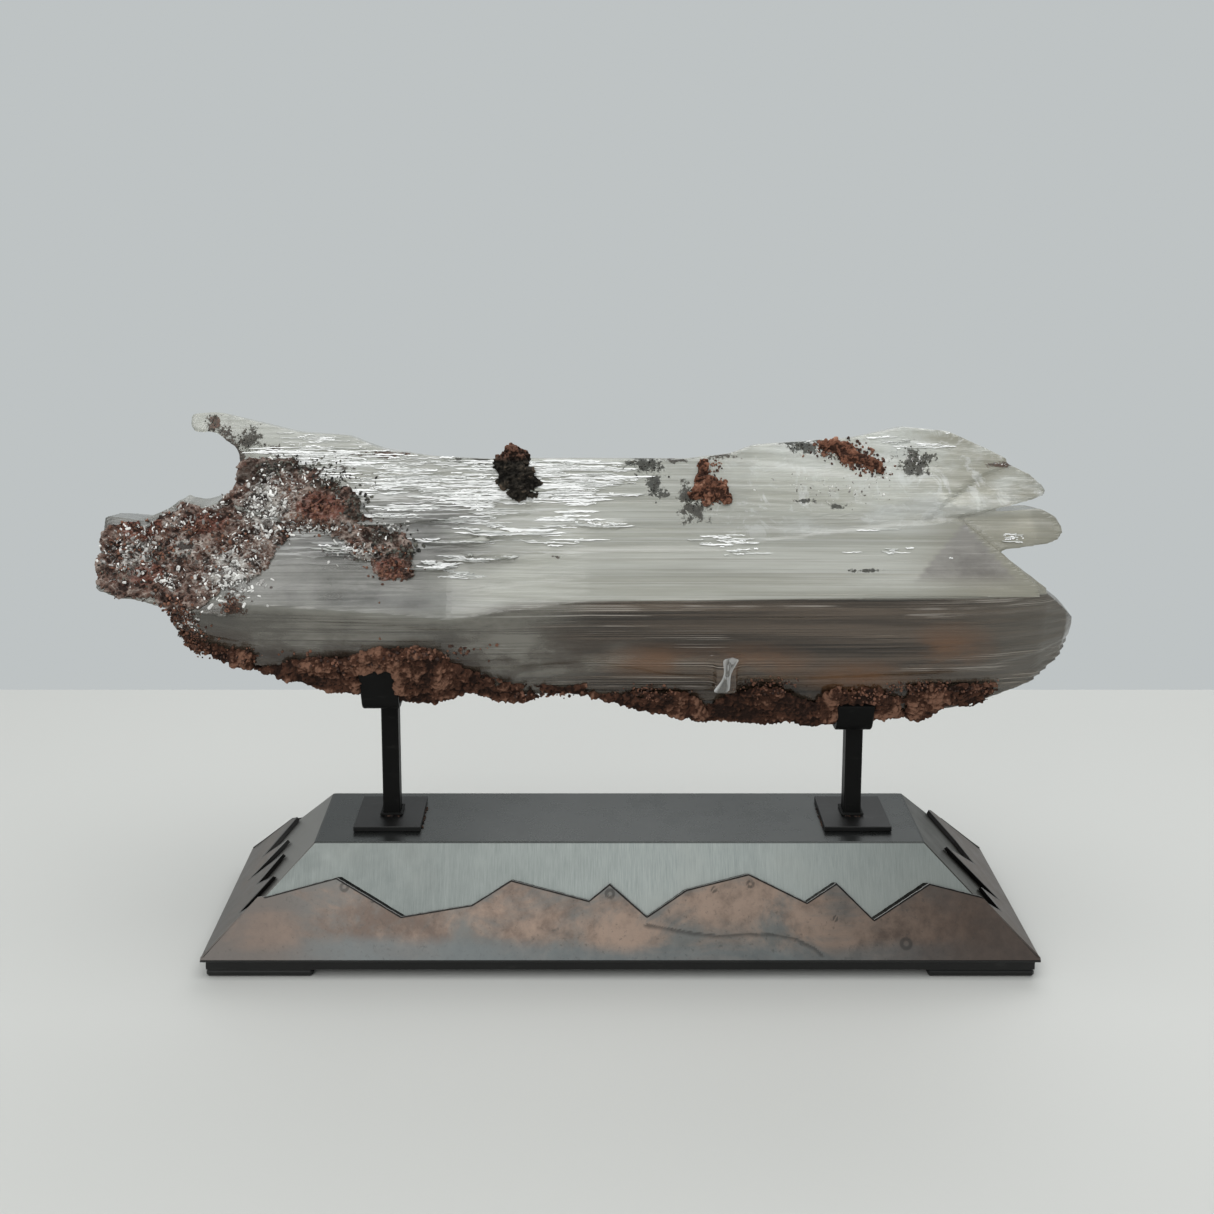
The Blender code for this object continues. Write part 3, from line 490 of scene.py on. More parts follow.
def make_body_finish():
    """Brushed blue-green sides, warm grey ends and a dark top, chosen by the true normal."""
    finish = Finish("stand_body", roughness=0.4, metallic=0.85)
    x, _, z = finish.axes()
    facing = finish.add("SeparateXYZ", None, Vector=finish.add("NewGeometry").outputs["True Normal"])
    on_top = finish.band(facing.outputs[2], 0.90, 0.97)
    on_end = finish.band(finish.maths("ABSOLUTE", facing.outputs[0]), 0.25, 0.35)
    hatch = finish.noise(1.0, stretch=(2600.0, 90.0, 120.0), detail=5.0, roughness=0.65)
    wide_hatch = finish.noise(1.0, stretch=(420.0, 12.0, 16.0), detail=4.0)
    clouds = finish.noise(16.0, detail=5.0)
    spots = finish.noise(70.0, detail=6.0, roughness=0.65)
    crossed = finish.noise(1.0, stretch=(1500.0, 60.0, 90.0), turn=(0.0, 0.5, 0.0), detail=4.0, roughness=0.6)
    lines = finish.maths("MULTIPLY_ADD", hatch, 0.55, finish.maths("MULTIPLY", wide_hatch, 0.15))
    lines = finish.maths("MULTIPLY_ADD", crossed, 0.30, lines)
    steel = finish.mix(finish.band(lines, 0.25, 0.75), (0.255, 0.285, 0.275), (0.430, 0.458, 0.440))
    steel = finish.layer(steel, (0.390, 0.405, 0.380), finish.band(clouds, 0.45, 0.7), 0.5)
    left = finish.band(x, STAND_X + 0.06, STAND_X - 0.15)
    right = finish.band(x, STAND_X + 0.08, STAND_X + 0.17)
    steel = finish.layer(steel, (0.090, 0.102, 0.098), left, 0.62)
    steel = finish.layer(steel, (0.200, 0.212, 0.198), right, 0.5)
    ends = finish.mix(spots, (0.150, 0.142, 0.130), (0.270, 0.262, 0.245))
    # The right end is darker: painted shade on the end turned away from the lamps
    ends = finish.mix(finish.band(x, STAND_X, STAND_X + 0.1), ends, (0.060, 0.058, 0.050))
    lid = finish.mix(clouds, (0.058, 0.061, 0.060), (0.094, 0.098, 0.096))
    lid = finish.layer(lid, (0.055, 0.056, 0.055), finish.band(spots, 0.6, 0.8), 0.3)
    under_lid = finish.maths("MULTIPLY", finish.band(z, STAND_TOP_Z - 0.0009, STAND_TOP_Z - 0.0005), 0.8)
    sides = finish.mix(under_lid, finish.mix(on_end, steel, ends), (0.035, 0.037, 0.036))
    colour = finish.mix(on_top, sides, lid)
    lighter_edges = finish.effect(EDGE_WEAR_AND_HIGHLIGHT, Radius=0.0008, Low=0.01, High=0.20)["Wear"]
    # Lighter edges: real wear and a painted highlight in one
    finish.into("Base Color", finish.layer(colour, (0.55, 0.56, 0.55), lighter_edges, 0.6))
    dull = finish.maths("MULTIPLY_ADD", spots, 0.25, 0.30)
    finish.into("Roughness", finish.maths("MULTIPLY_ADD", on_top, -0.14, dull))
    finish.into("Normal", finish.bump(lines, 0.00003, 0.35))
    return finish.material


BODY_FINISH = make_body_finish()
dress_node("base_body", BODY_FINISH)
print("stand body:", len(BODY_FINISH.node_tree.nodes), "shader nodes")

# %% [markdown]
# The crystal is see-through, so it can't be put together from shells that overlap: their hidden walls would
# show. A merged copy of the frame's solid is meshed again in small cells, three times as long along the
# crystal as across it, because all of selenite's fine lines run that way. Then whole-array formulas move
# its points.

# %% Crystal surface
RIDGE = [
    (-0.2218, 0.2097), (-0.2022, 0.2064), (-0.1606, 0.2039), (-0.1105, 0.2003), (-0.0919, 0.1978),
    (-0.0600, 0.2065), (-0.0165, 0.2086), (0.0368, 0.2089), (0.0955, 0.2097), (0.1755, 0.2097),
    (0.2331, 0.2092),
]


def along_line(line, x):
    """Height of a broken line at x, x counted from the stand's middle."""
    return np.interp(x, [place for place, _ in line], [height for _, height in line])


def fine_copy(name, node, press, cell):
    """A merged copy of a node's mesh, meshed again in even cells after its length is pressed by a share."""
    mesh = frame["nodes"][node].data.copy()
    mesh.name = name
    clean_mesh(mesh, SAME_POINT, outward=False)
    mesh.materials.clear()
    mesh.transform(Matrix.Diagonal((press, 1.0, 1.0, 1.0)))
    holder = bpy.data.objects.new(name + "_source", mesh)
    bpy.context.scene.collection.objects.link(holder)
    even = holder.modifiers.new("Even", "REMESH")
    even.mode = "VOXEL"
    even.voxel_size = cell
    fine = bpy.data.meshes.new_from_object(holder.evaluated_get(bpy.context.evaluated_depsgraph_get()))
    bpy.data.objects.remove(holder, do_unlink=True)
    fine.transform(Matrix.Diagonal((1.0 / press, 1.0, 1.0, 1.0)))
    fine.name = name
    return fine


def tilted(points, degrees):
    """Points turned about the Y axis, so that lines along X climb to the right by that angle."""
    turn = math.radians(degrees)
    x = points[:, 0] * math.cos(turn) + points[:, 2] * math.sin(turn)
    z = -points[:, 0] * math.sin(turn) + points[:, 2] * math.cos(turn)
    return np.stack([x, points[:, 1], z], axis=1)


print("ridge from x", RIDGE[0][0], "to", RIDGE[-1][0])

# %% [markdown]
# What the crystal's face looks like changes from place to place: painted shade below the ridge, grey at
# the left and brown at the right, white streaks at the upper left, mist on the shoulder, a cloudy facet by
# the fingers, stains and rust. Painted pictures aren't used here. Each look is a number for each point,
# worked out from the point's place, and the finish reads these masks.

# %% Masks of the crystal
# Stains and clay specks on the crystal's front: x and height of the middle, half width, half height, rust
SPOTS = np.array([
    (-0.2270, 0.2950, 0.0050, 0.0048, 0.90), (-0.2060, 0.2855, 0.0085, 0.0065, 0.15),
    (-0.1920, 0.2810, 0.0050, 0.0030, 0.30), (-0.0800, 0.2770, 0.0110, 0.0040, 0.05),
    (0.0140, 0.2745, 0.0120, 0.0055, 0.00), (0.0190, 0.2650, 0.0040, 0.0070, 0.00),
    (0.0235, 0.2590, 0.0030, 0.0030, 0.00), (0.0410, 0.2500, 0.0090, 0.0060, 0.10),
    (0.0360, 0.2570, 0.0040, 0.0080, 0.10), (0.1030, 0.2830, 0.0100, 0.0045, 0.00),
    (0.0950, 0.2850, 0.0050, 0.0040, 0.00), (0.1640, 0.2750, 0.0100, 0.0070, 0.05),
    (0.2120, 0.2740, 0.0090, 0.0016, 0.70), (0.1010, 0.2560, 0.0070, 0.0014, 0.00),
    (0.1180, 0.2535, 0.0050, 0.0014, 0.00), (0.1320, 0.2230, 0.0110, 0.0010, 0.00),
    (-0.2060, 0.2055, 0.0070, 0.0070, 0.60), (-0.1560, 0.2720, 0.0080, 0.0016, 0.30),
    (-0.1300, 0.2790, 0.0160, 0.0020, 0.75), (-0.0330, 0.2290, 0.0040, 0.0008, 0.30),
    (0.0560, 0.2790, 0.0100, 0.0030, 0.30), (-0.1100, 0.2660, 0.0050, 0.0014, 0.10),
    (0.0300, 0.2765, 0.0140, 0.0018, 0.20),
])
# Rust that glows through the lower face: x and height of the middle, half width, half height
GLOW = np.array([
    (0.179, 0.178, 0.022, 0.014), (0.070, 0.168, 0.032, 0.012), (0.020, 0.170, 0.030, 0.010),
    (0.130, 0.160, 0.030, 0.010),
])
# A cloudy facet left of the two fingers: its peak, the slopes of its two sides, and where it fades out below
FACET_TOP, FACET_SLOPES, FACET_LOW = (0.1871, 0.2461), (0.95, 1.10), 0.2150
# The round bite under the horn: middle, radius and the width of its dirty rim
BITE, BITE_RADIUS, BITE_RIM = (-0.2306, 0.2722), 0.0196, 0.0045
# Teeth torn into the tip's lower edge, and the straight cut of its upper corner from one point to the other
TOOTH_PITCH, TOOTH_DEPTH, TOOTH_ROW, TOOTH_REACH = 0.0036, 0.0018, 0.0015, 0.010
TIP_LINE, TIP_REACH = ((0.2310, 0.2090), (0.2545, 0.1835)), 0.0026
HORN_HANG, CUT_SHARE = 0.0045, 0.85


def nearest_spot(x, z, spots):
    """1 - distance in half sizes, for the nearest spot: 1 in its middle, 0 on its outline and less beyond."""
    away = np.hypot((x[:, None] - spots[:, 0]) / spots[:, 2], (z[:, None] - spots[:, 1]) / spots[:, 3])
    return 1.0 - away.min(axis=1), away.argmin(axis=1)


def crystal_masks(points, normals):
    """Where the looks lie: painted shade below the ridge, brown at right, streaked, stained, rusty, glowing,
    clear.
    """
    x, z = face_place(points)
    front = smooth_step(-normals[:, 1], -0.2, 0.1)
    ridge = along_line(RIDGE, x) - 0.006 * smooth_step(points[:, 1], -0.02, 0.02)
    soft = 0.0005 + 0.0050 * (1.0 - smooth_step(x, -0.100, 0.000))
    below = smooth_step((ridge - z) / soft, -1.0, 1.0)
    wander = rough_noise(points, (0.05, 0.03, 0.012), 3, 41)
    uneven_x = x + 0.02 * wander
    # Below the ridge is painted shade; this right part of it is brown
    brown_shade = below * smooth_step(uneven_x, -0.050, 0.010)
    left = smooth_step(uneven_x, -0.205, -0.165) * (1.0 - smooth_step(uneven_x, -0.040, 0.005))
    high = smooth_step(z + 0.004 * wander, 0.222, 0.236)
    near, which = nearest_spot(x, z, SPOTS)
    rim = 1.0 - np.abs(np.hypot(x - BITE[0], z - BITE[1]) - BITE_RADIUS) / BITE_RIM
    near = np.maximum(np.where(front > 0.5, near, -3.0), np.where(x > -0.222, rim, -3.0))
    rust = np.where(near > rim, SPOTS[which, 4], 0.35)
    glow, _ = nearest_spot(x, z, GLOW)
    clear = (1.0 - below) * (1.0 - smooth_step(x + 0.03 * wander, -0.120, -0.030))
    clear = clear * (1.0 - 0.75 * smooth_step(z + 0.006 * wander, 0.240, 0.268))
    shoulder = smooth_step(x, 0.020, 0.080) * smooth_step(z - (0.226 + 0.09 * x), 0.0, 0.012)
    facet_edge = FACET_TOP[1] - np.where(x < FACET_TOP[0], *FACET_SLOPES) * np.abs(x - FACET_TOP[0])
    facet = smooth_step(facet_edge + 0.0008 * wander - z, -0.0003, 0.0010)
    facet = facet * smooth_step(z + 0.004 * wander, FACET_LOW, FACET_LOW + 0.010) * (1.0 - below)
    return dict(
        below=below, brown_shade=brown_shade, field=left * high, stain=np.maximum(near, -3.0),
        rust=rust, low=smooth_step(ridge - z + 0.006 * wander, 0.010, 0.028),
        glow=np.clip(glow + 0.35, 0.0, 1.0) * below * front,
        clear=clear, tip=smooth_step(x, 0.165, 0.245), shoulder=shoulder, facet=facet * front,
        tint=smooth_step(x + 0.01 * wander, 0.140, 0.205) * (1.0 - below),
    )


print("stains:", len(SPOTS), "glows:", len(GLOW))

# %% [markdown]
# Selenite splits in thin sheets, and the splits end in low steps along the crystal. The steps climb to the
# right on the shoulder blade, because it grew at a slant. A few marks are cut as well: teeth along the
# tip's lower edge, a straight corner above them, and the hanging underside of the horn.

# %% Terraces, teeth and cuts
def carve_crystal(mesh):
    """Terraces and lines along the crystal. A terrace is noise in long flat cells, cut to a few levels."""
    points = points_of(mesh)
    normals = normals_of(mesh)
    masks = crystal_masks(points, normals)
    x, z = face_place(points)
    shoulder = masks["shoulder"]
    straight = rough_noise(points, (0.160, 0.012, 0.0030), 2, 3)
    climbing = rough_noise(tilted(points, -7.0), (0.080, 0.012, 0.0034), 2, 9)
    lines = straight * (1.0 - shoulder) + climbing * shoulder
    levels = np.floor(lines * 3.0)
    level_share = smooth_step(lines * 3.0 - levels, 0.35, 0.65)
    terraces = (levels + level_share) / 3.0
    height = 0.00007 + 0.00018 * masks["field"] + 0.00006 * masks["below"] + 0.00016 * shoulder
    fine = rough_noise(points, (0.060, 0.006, 0.0017), 2, 17)
    row = (z / TOOTH_ROW).astype(int)
    outline = np.full(row.max() + 1, -1.0)
    np.maximum.at(outline, row, x)
    torn = np.clip(1.0 - (outline[row] - x) / TOOTH_REACH, 0.0, 1.0) * masks["tip"] * masks["below"]
    torn = torn * (1.0 - smooth_step(z, 0.172, 0.182))
    teeth = np.abs((z / TOOTH_PITCH + 0.6 * cell_noise(points, 0.006, 23)) % 1.0 - 0.5) * 2.0
    moved = terraces * height + fine * 0.00006
    points = points + normals * moved[:, None]
    # The tip reaches a little further than its meshed copy, and its lower edge is torn into teeth
    points[:, 0] += TIP_REACH * smooth_step(x, 0.225, 0.250) * masks["below"] - TOOTH_DEPTH * torn * teeth
    # The horn's underside hangs lower, and the tip's upper corner is cut off straight
    hangs = smooth_step(x, -0.250, -0.243) * (1.0 - smooth_step(x, -0.222, -0.209))
    hangs = hangs * smooth_step(z, 0.274, 0.283) * (1.0 - smooth_step(z, 0.287, 0.296))
    points[:, 2] -= HORN_HANG * hangs
    (high_x, high_z), (low_x, low_z) = TIP_LINE
    line_x = np.interp(z, [low_z, high_z], [low_x, high_x])
    over = np.clip(x - line_x, 0.0, None) * (z > low_z) * (z < high_z + 0.004)
    points[:, 0] -= over * CUT_SHARE
    set_points(mesh, np.clip(points, *CAD_BOX))
    for name, values in masks.items():
        set_mask(mesh, name, values)
    return moved


CRYSTAL_PRESS, CRYSTAL_CELL = 0.35, 0.00104
crystal_mesh = fine_copy("crystal_body", "crystal", CRYSTAL_PRESS, CRYSTAL_CELL)
moved = carve_crystal(crystal_mesh)
print("crystal faces:", len(crystal_mesh.polygons))
print("relief up to", round(float(np.abs(moved).max()) * 1000, 2), "mm")

# %% [markdown]
# Selenite lets light through but is milky with fine splits. The finish is part glass, part pale body
# colour. The face under the ridge turns down, away from the lamps and toward the dark stand and clay. Its
# colour is painted shade: grey at the left, and brown with bright and dark lines at the right.

# %% Crystal finish
def make_selenite():
    """Half glass, half pale body. Its colour is the face above or below the ridge, with streaks and stains."""
    finish = Finish("selenite", roughness=0.16, Transmission_Weight=0.5, IOR=1.52, Specular_IOR_Level=0.6)
    below, brown_shade, field = finish.mask("below"), finish.mask("brown_shade"), finish.mask("field")
    lines = finish.noise(1.0, stretch=(3.0, 60.0, 1150.0), detail=2.0, roughness=0.6)
    more_lines = finish.noise(1.0, stretch=(6.0, 60.0, 700.0), detail=4.0, roughness=0.7)
    climbing = finish.noise(1.0, stretch=(5.0, 60.0, 700.0), turn=(0.0, math.radians(7.0), 0.0), detail=4.0)
    broad = finish.noise(1.0, stretch=(4.0, 30.0, 75.0), detail=6.0, roughness=0.62)
    groups = finish.noise(1.0, stretch=(12.0, 30.0, 90.0), detail=3.0)
    cloud = finish.noise(26.0, stretch=(0.6, 1.0, 1.1), detail=8.0, roughness=0.62)
    veil = finish.noise(60.0, stretch=(0.9, 1.0, 0.8), detail=8.0, roughness=0.7, distortion=1.2)
    # Upper face: milk with straight lines, clearer and greyer at the left, a little yellow in the fingers
    milk = finish.mix(finish.band(broad, 0.36, 0.66), (0.54, 0.545, 0.48), (0.74, 0.75, 0.69))
    milk = finish.layer(milk, (0.40, 0.39, 0.33), finish.band(climbing, 0.52, 0.66), 0.40)
    milk = finish.layer(milk, (0.37, 0.36, 0.31), finish.band(more_lines, 0.54, 0.66), 0.40)
    milk = finish.layer(milk, (0.78, 0.79, 0.76), finish.band(lines, 0.55, 0.65), 0.35)
    clear = finish.mix(finish.band(cloud, 0.38, 0.64), (0.090, 0.088, 0.082), (0.30, 0.295, 0.28))
    milk = finish.layer(milk, clear, finish.mask("clear"), 0.9)
    milk = finish.layer(milk, (0.34, 0.32, 0.245), finish.mask("tint"), 0.75)
    misty = finish.maths("MULTIPLY", finish.mask("shoulder"), finish.band(cloud, 0.44, 0.60))
    milk = finish.layer(milk, (0.80, 0.82, 0.79), misty, 0.65)
    misty = finish.maths("MULTIPLY", finish.mask("shoulder"), finish.band(veil, 0.52, 0.62))
    milk = finish.layer(milk, (0.93, 0.94, 0.93), misty, 0.50)
    faceted = finish.mix(finish.band(cloud, 0.38, 0.60), (0.190, 0.172, 0.172), (0.42, 0.40, 0.38))
    milk = finish.layer(milk, faceted, finish.mask("facet"), 0.8)
    # Lower face, painted shade: grey and cloudy at the left, brown at the right with bright and dark lines and
    # rust
    grey = finish.mix(finish.band(cloud, 0.36, 0.64), (0.120, 0.110, 0.093), (0.30, 0.285, 0.25))
    grey = finish.layer(grey, (0.075, 0.066, 0.055), finish.band(more_lines, 0.52, 0.60), 0.55)
    scratch = finish.maths("MULTIPLY", finish.band(lines, 0.60, 0.66), finish.band(groups, 0.50, 0.60))
    grey = finish.layer(grey, (0.55, 0.54, 0.50), scratch, 0.6)
    patchy = finish.maths("MULTIPLY", finish.mask("low"), finish.band(cloud, 0.60, 0.42))
    grey = finish.layer(grey, (0.055, 0.034, 0.022), patchy, 0.8)
    brown = finish.mix(finish.band(broad, 0.36, 0.64), (0.034, 0.023, 0.015), (0.200, 0.150, 0.112))
    brown = finish.layer(brown, (0.180, 0.140, 0.108), finish.band(more_lines, 0.52, 0.64), 0.6)
    bright = finish.maths("MULTIPLY", finish.band(lines, 0.54, 0.61), finish.band(groups, 0.50, 0.62))
    brown = finish.layer(brown, (0.66, 0.60, 0.54), bright, 0.85)
    brown = finish.layer(brown, (0.010, 0.007, 0.004), finish.band(lines, 0.48, 0.41), 0.9)
    brown = finish.layer(brown, (0.20, 0.185, 0.155), finish.mask("tip"), 0.55)
    rusty = finish.maths("MULTIPLY", finish.mask("glow"), finish.band(cloud, 0.38, 0.58))
    brown = finish.layer(brown, (0.25, 0.110, 0.045), rusty, 0.75)
    # Under the ridge the milk gives way to painted shade
    colour = finish.mix(below, milk, finish.mix(brown_shade, grey, brown))
    streak = finish.noise(1.0, stretch=(22.0, 60.0, 620.0), detail=5.0, roughness=0.6, distortion=0.2)
    white = finish.maths("MULTIPLY", finish.band(streak, 0.56, 0.60), finish.maths("MULTIPLY", field, 0.65))
    colour = finish.mix(white, colour, (0.95, 0.95, 0.93))
    # Clay stains with ragged outlines
    grit = finish.noise(750.0, detail=5.0, roughness=0.75)
    ragged = finish.noise(190.0, detail=5.0, roughness=0.7)
    edge = finish.maths("MULTIPLY_ADD", grit, 2.4, finish.maths("MULTIPLY_ADD", ragged, 4.0, -3.2))
    stained = finish.band(finish.maths("ADD", finish.mask("stain"), edge), 0.25, 0.40)
    dirt = finish.mix(finish.mask("rust"), (0.075, 0.077, 0.064), (0.190, 0.070, 0.040))
    dirt = finish.mix(finish.band(grit, 0.45, 0.60), finish.mix(0.7, dirt, (0.01, 0.008, 0.006)), dirt)
    finish.into("Base Color", finish.layer(colour, dirt, stained, 0.92))
    dull = finish.maths("MULTIPLY", stained, 0.8)
    finish.into("Roughness", finish.maths("MAXIMUM", finish.maths("MULTIPLY", broad, 0.35), dull))
    ridged = finish.maths("MULTIPLY_ADD", lines, 0.7, finish.maths("MULTIPLY", more_lines, 0.4))
    smooth = finish.bump(ridged, 0.00025, 0.6)
    finish.into("Normal", finish.bump(finish.maths("MULTIPLY", grit, stained), 0.0007, 0.8, smooth))
    absorb = finish.add("VolumeAbsorption", None, Color=(0.80, 0.74, 0.62), Density=9.0)
    finish.tree.links.new(absorb.outputs[0], finish.tree.nodes["Material Output"].inputs["Volume"])
    return finish.material


SELENITE = make_selenite()
crystal_mesh.materials.append(SELENITE)
print("selenite:", len(SELENITE.node_tree.nodes), "shader nodes")
add_piece("crystal_body", crystal_mesh, ("crystal",))

# %% [markdown]
# The clay is a crust of lumps, crumbs and grit in several sizes. Sculpting it by hand can't be repeated,
# and single lumps stuck together would leave gaps. So a merged copy of each clay node is meshed in small
# cells and pushed out along its normals by a formula: rounded lumps under the crystal and on the clods, and
# sharp slanting crests on the broken end, where flakes of crystal stand in the clay. How far a point was
# pushed out is kept: hollows get painted shade, and knobs a painted highlight. On the broken end the clay is
# red, nearly black or pale with small crystals, each in its own places.

# %% Clay finish
# Places in the end crust: x and height of the middle, half width, half height, kind (0 red, 1 dark, 2 pale)
CRUST_PLACES = np.array([
    (-0.1638, 0.2532, 0.0142, 0.0082, 0), (-0.1243, 0.2227, 0.0097, 0.0065, 0),
    (-0.2273, 0.2450, 0.0152, 0.0060, 0), (-0.2615, 0.2418, 0.0131, 0.0065, 0),
    (-0.2528, 0.2207, 0.0129, 0.0054, 0), (-0.1771, 0.2744, 0.0188, 0.0050, 1),
    (-0.2010, 0.2695, 0.0130, 0.0075, 1), (-0.1587, 0.2665, 0.0110, 0.0066, 1),
    (-0.1437, 0.2531, 0.0071, 0.0076, 1), (-0.1281, 0.2386, 0.0098, 0.0054, 1),
    (-0.1163, 0.2308, 0.0065, 0.0043, 1), (-0.1941, 0.2546, 0.0120, 0.0120, 2),
    (-0.2090, 0.2220, 0.0140, 0.0097, 2), (-0.1463, 0.2315, 0.0141, 0.0043, 2),
    (-0.2627, 0.2314, 0.0087, 0.0065, 2), (-0.2360, 0.2331, 0.0076, 0.0049, 2),
])


def make_clay_grit():
    """Painted hollow shade, knob highlight: bands of 1.5 grains + 0.65 Rise - 0.75. Height = 0.5 lumps +
    grains.
    """
    effect = Effect("clay grit", Place=ORIGIN, Rise=0.0)
    lumps = effect.noise(120.0, detail=6.0, roughness=0.65)
    grains = effect.noise(700.0, detail=5.0, roughness=0.7)
    rise = effect.maths("MULTIPLY_ADD", effect.given["Rise"], 0.65, -0.75)
    rise = effect.maths("MULTIPLY_ADD", grains, 1.5, rise)
    pit_shade_share, bump_highlight_share = effect.band(rise, 0.62, 0.30), effect.band(rise, 0.78, 1.30)
    height = effect.maths("MULTIPLY_ADD", lumps, 0.5, grains)
    return effect.give(Lumps=lumps, Pits=pit_shade_share, Bumps=bump_highlight_share, Height=height)


CLAY_GRIT = make_clay_grit()
CLAY_TONES = dict(red=(0.190, 0.066, 0.044), dark=(0.040, 0.030, 0.023), pale=(0.430, 0.410, 0.380))


def make_clay(name, pit_shade_colour, middle, bump, places=False, cap=False):
    """Clay with painted hollow shade and knob highlight. It may be red, dark and pale in places, or a redder
    cap.
    """
    finish = Finish(name, roughness=0.85, Specular_IOR_Level=0.2)
    grit = finish.effect(CLAY_GRIT, Place=finish.place, Rise=finish.mask("rise"))
    lumps = grit["Lumps"]
    colour = finish.mix(finish.band(lumps, 0.40, 0.60), middle, [0.62 * value for value in middle])
    if cap:
        colour = finish.layer(colour, (0.160, 0.075, 0.050), finish.mask("cap"), 0.8)
    # Knobs get a painted highlight
    colour = finish.layer(colour, bump, grit["Bumps"], 0.75)
    if places:
        edge = finish.maths("MULTIPLY_ADD", lumps, 1.6, -0.8)
        for kind, tone in CLAY_TONES.items():
            share = finish.band(finish.maths("ADD", finish.mask(kind), edge), 0.05, 0.30)
            colour = finish.layer(colour, tone, share, 0.75)
        torn = dict(detail=6.0, roughness=0.7, distortion=1.5)
        flakes = finish.noise(330.0, stretch=(0.55, 1.0, 1.25), turn=(0.0, 0.6, 0.0), **torn)
        crossed = finish.noise(300.0, stretch=(1.2, 1.0, 0.5), turn=(0.0, -0.5, 0.0), **torn)
        white = finish.maths("MAXIMUM", finish.band(flakes, 0.53, 0.58), finish.band(crossed, 0.55, 0.60))
        dark = finish.band(finish.maths("ADD", finish.mask("dark"), edge), 0.05, 0.30)
        amount = finish.maths("MULTIPLY_ADD", finish.mask("pale"), 0.40, 0.50)
        amount = finish.maths("MULTIPLY", amount, finish.maths("MULTIPLY_ADD", dark, -0.7, 1.0))
        colour = finish.layer(colour, (0.66, 0.64, 0.60), white, amount)
        colour = finish.layer(colour, (0.022, 0.013, 0.010), finish.band(flakes, 0.44, 0.38), 0.85)
        colour = finish.layer(colour, (0.150, 0.060, 0.042), finish.band(crossed, 0.43, 0.37), 0.60)
    # Hollows get painted shade
    colour = finish.layer(colour, pit_shade_colour, grit["Pits"], 0.85)
    finish.into("Base Color", colour)
    finish.into("Normal", finish.bump(grit["Height"], 0.0010, 0.9))
    return finish.material


# Each clay: colour of the painted shade in hollows, middle tone, colour of the painted highlight on knobs
RED_CLAY = make_clay("red_clay", (0.020, 0.009, 0.006), (0.200, 0.086, 0.052), (0.400, 0.215, 0.145))
UNDER_CLAY = make_clay("under_clay", (0.014, 0.007, 0.005), (0.082, 0.035, 0.021), (0.270, 0.140, 0.092))
END_CLAY = make_clay("end_clay", (0.016, 0.010, 0.008), (0.150, 0.088, 0.068), (0.360, 0.290, 0.250),
                     places=True)
DARK_CLAY = make_clay("dark_clay", (0.004, 0.003, 0.002), (0.028, 0.023, 0.017), (0.120, 0.085, 0.060),
                      cap=True)
CLAYS = (RED_CLAY, UNDER_CLAY, END_CLAY, DARK_CLAY)
print("shader nodes of the clays:", [len(clay.node_tree.nodes) for clay in CLAYS])

# %% [markdown]
# Clay that was squeezed and dried lies in rounded knobs. Where it holds flakes of crystal, it breaks in
# splinters. Both reliefs are sums of noises in cells of falling size. Folded noise, |n|, has round tops and
# sharp valleys, and (1 - |n|) to the third power has thin sharp crests between wide hollows.

# %% Clay relief
def clay_lumps(points, seed):
    """1.4 |knobs| + |lumps| + |crumbs| + 0.5 grit - 0.9, each noise in its own cells: rounded lumps."""
    knobs = np.abs(cell_noise(points, 0.0120, seed + 4))
    lumps = np.abs(cell_noise(points, 0.0048, seed))
    crumbs = np.abs(cell_noise(points, 0.0022, seed + 1))
    return 1.4 * knobs + lumps + crumbs + 0.5 * rough_noise(points, 0.0012, 2, seed + 2) - 0.9


def splinters(points, seed):
    """Sum of (1 - |noise|)^3 in cells drawn out in two slanting directions: sharp crests between hollows."""
    rising = 1.0 - np.abs(cell_noise(tilted(points, 35.0), (0.0060, 0.0040, 0.0022), seed))
    falling = 1.0 - np.abs(cell_noise(tilted(points, -30.0), (0.0050, 0.0040, 0.0020), seed + 1))
    hollows = cell_noise(points, 0.0065, seed + 3)
    grit = rough_noise(points, 0.0014, 2, seed + 2)
    return 1.1 * rising**3 + 0.9 * falling**3 + 0.7 * hollows + 0.35 * grit - 0.5


def make_clay_piece(node, cell, height, relief, material, seed):
    """p' = p + n * height * relief(p). How high a point is stays on the mesh for its finish."""
    mesh = fine_copy(node + "_rough", node, 1.0, cell)
    points, normals = points_of(mesh), normals_of(mesh)
    share = relief(points, seed)
    set_points(mesh, np.clip(points + normals * (height * share)[:, None], *CAD_BOX))
    # How far each point is pushed out: the finish paints shade in hollows and highlight on knobs from it
    set_mask(mesh, "rise", share + 0.8)
    up = points[:, 2] - points[:, 2].min()
    set_mask(mesh, "cap", smooth_step(up / up.max(), 0.66, 0.84))
    if node == "end_crust":
        for kind, name in enumerate(CLAY_TONES):
            places = CRUST_PLACES[CRUST_PLACES[:, 4] == kind]
            near, _ = nearest_spot(*face_place(points), places)
            set_mask(mesh, name, np.clip(near, -1.0, 1.0))
    mesh.materials.append(material)
    print(node, "faces:", len(mesh.polygons))
    add_piece(node + "_rough", mesh, (node,))
    return mesh


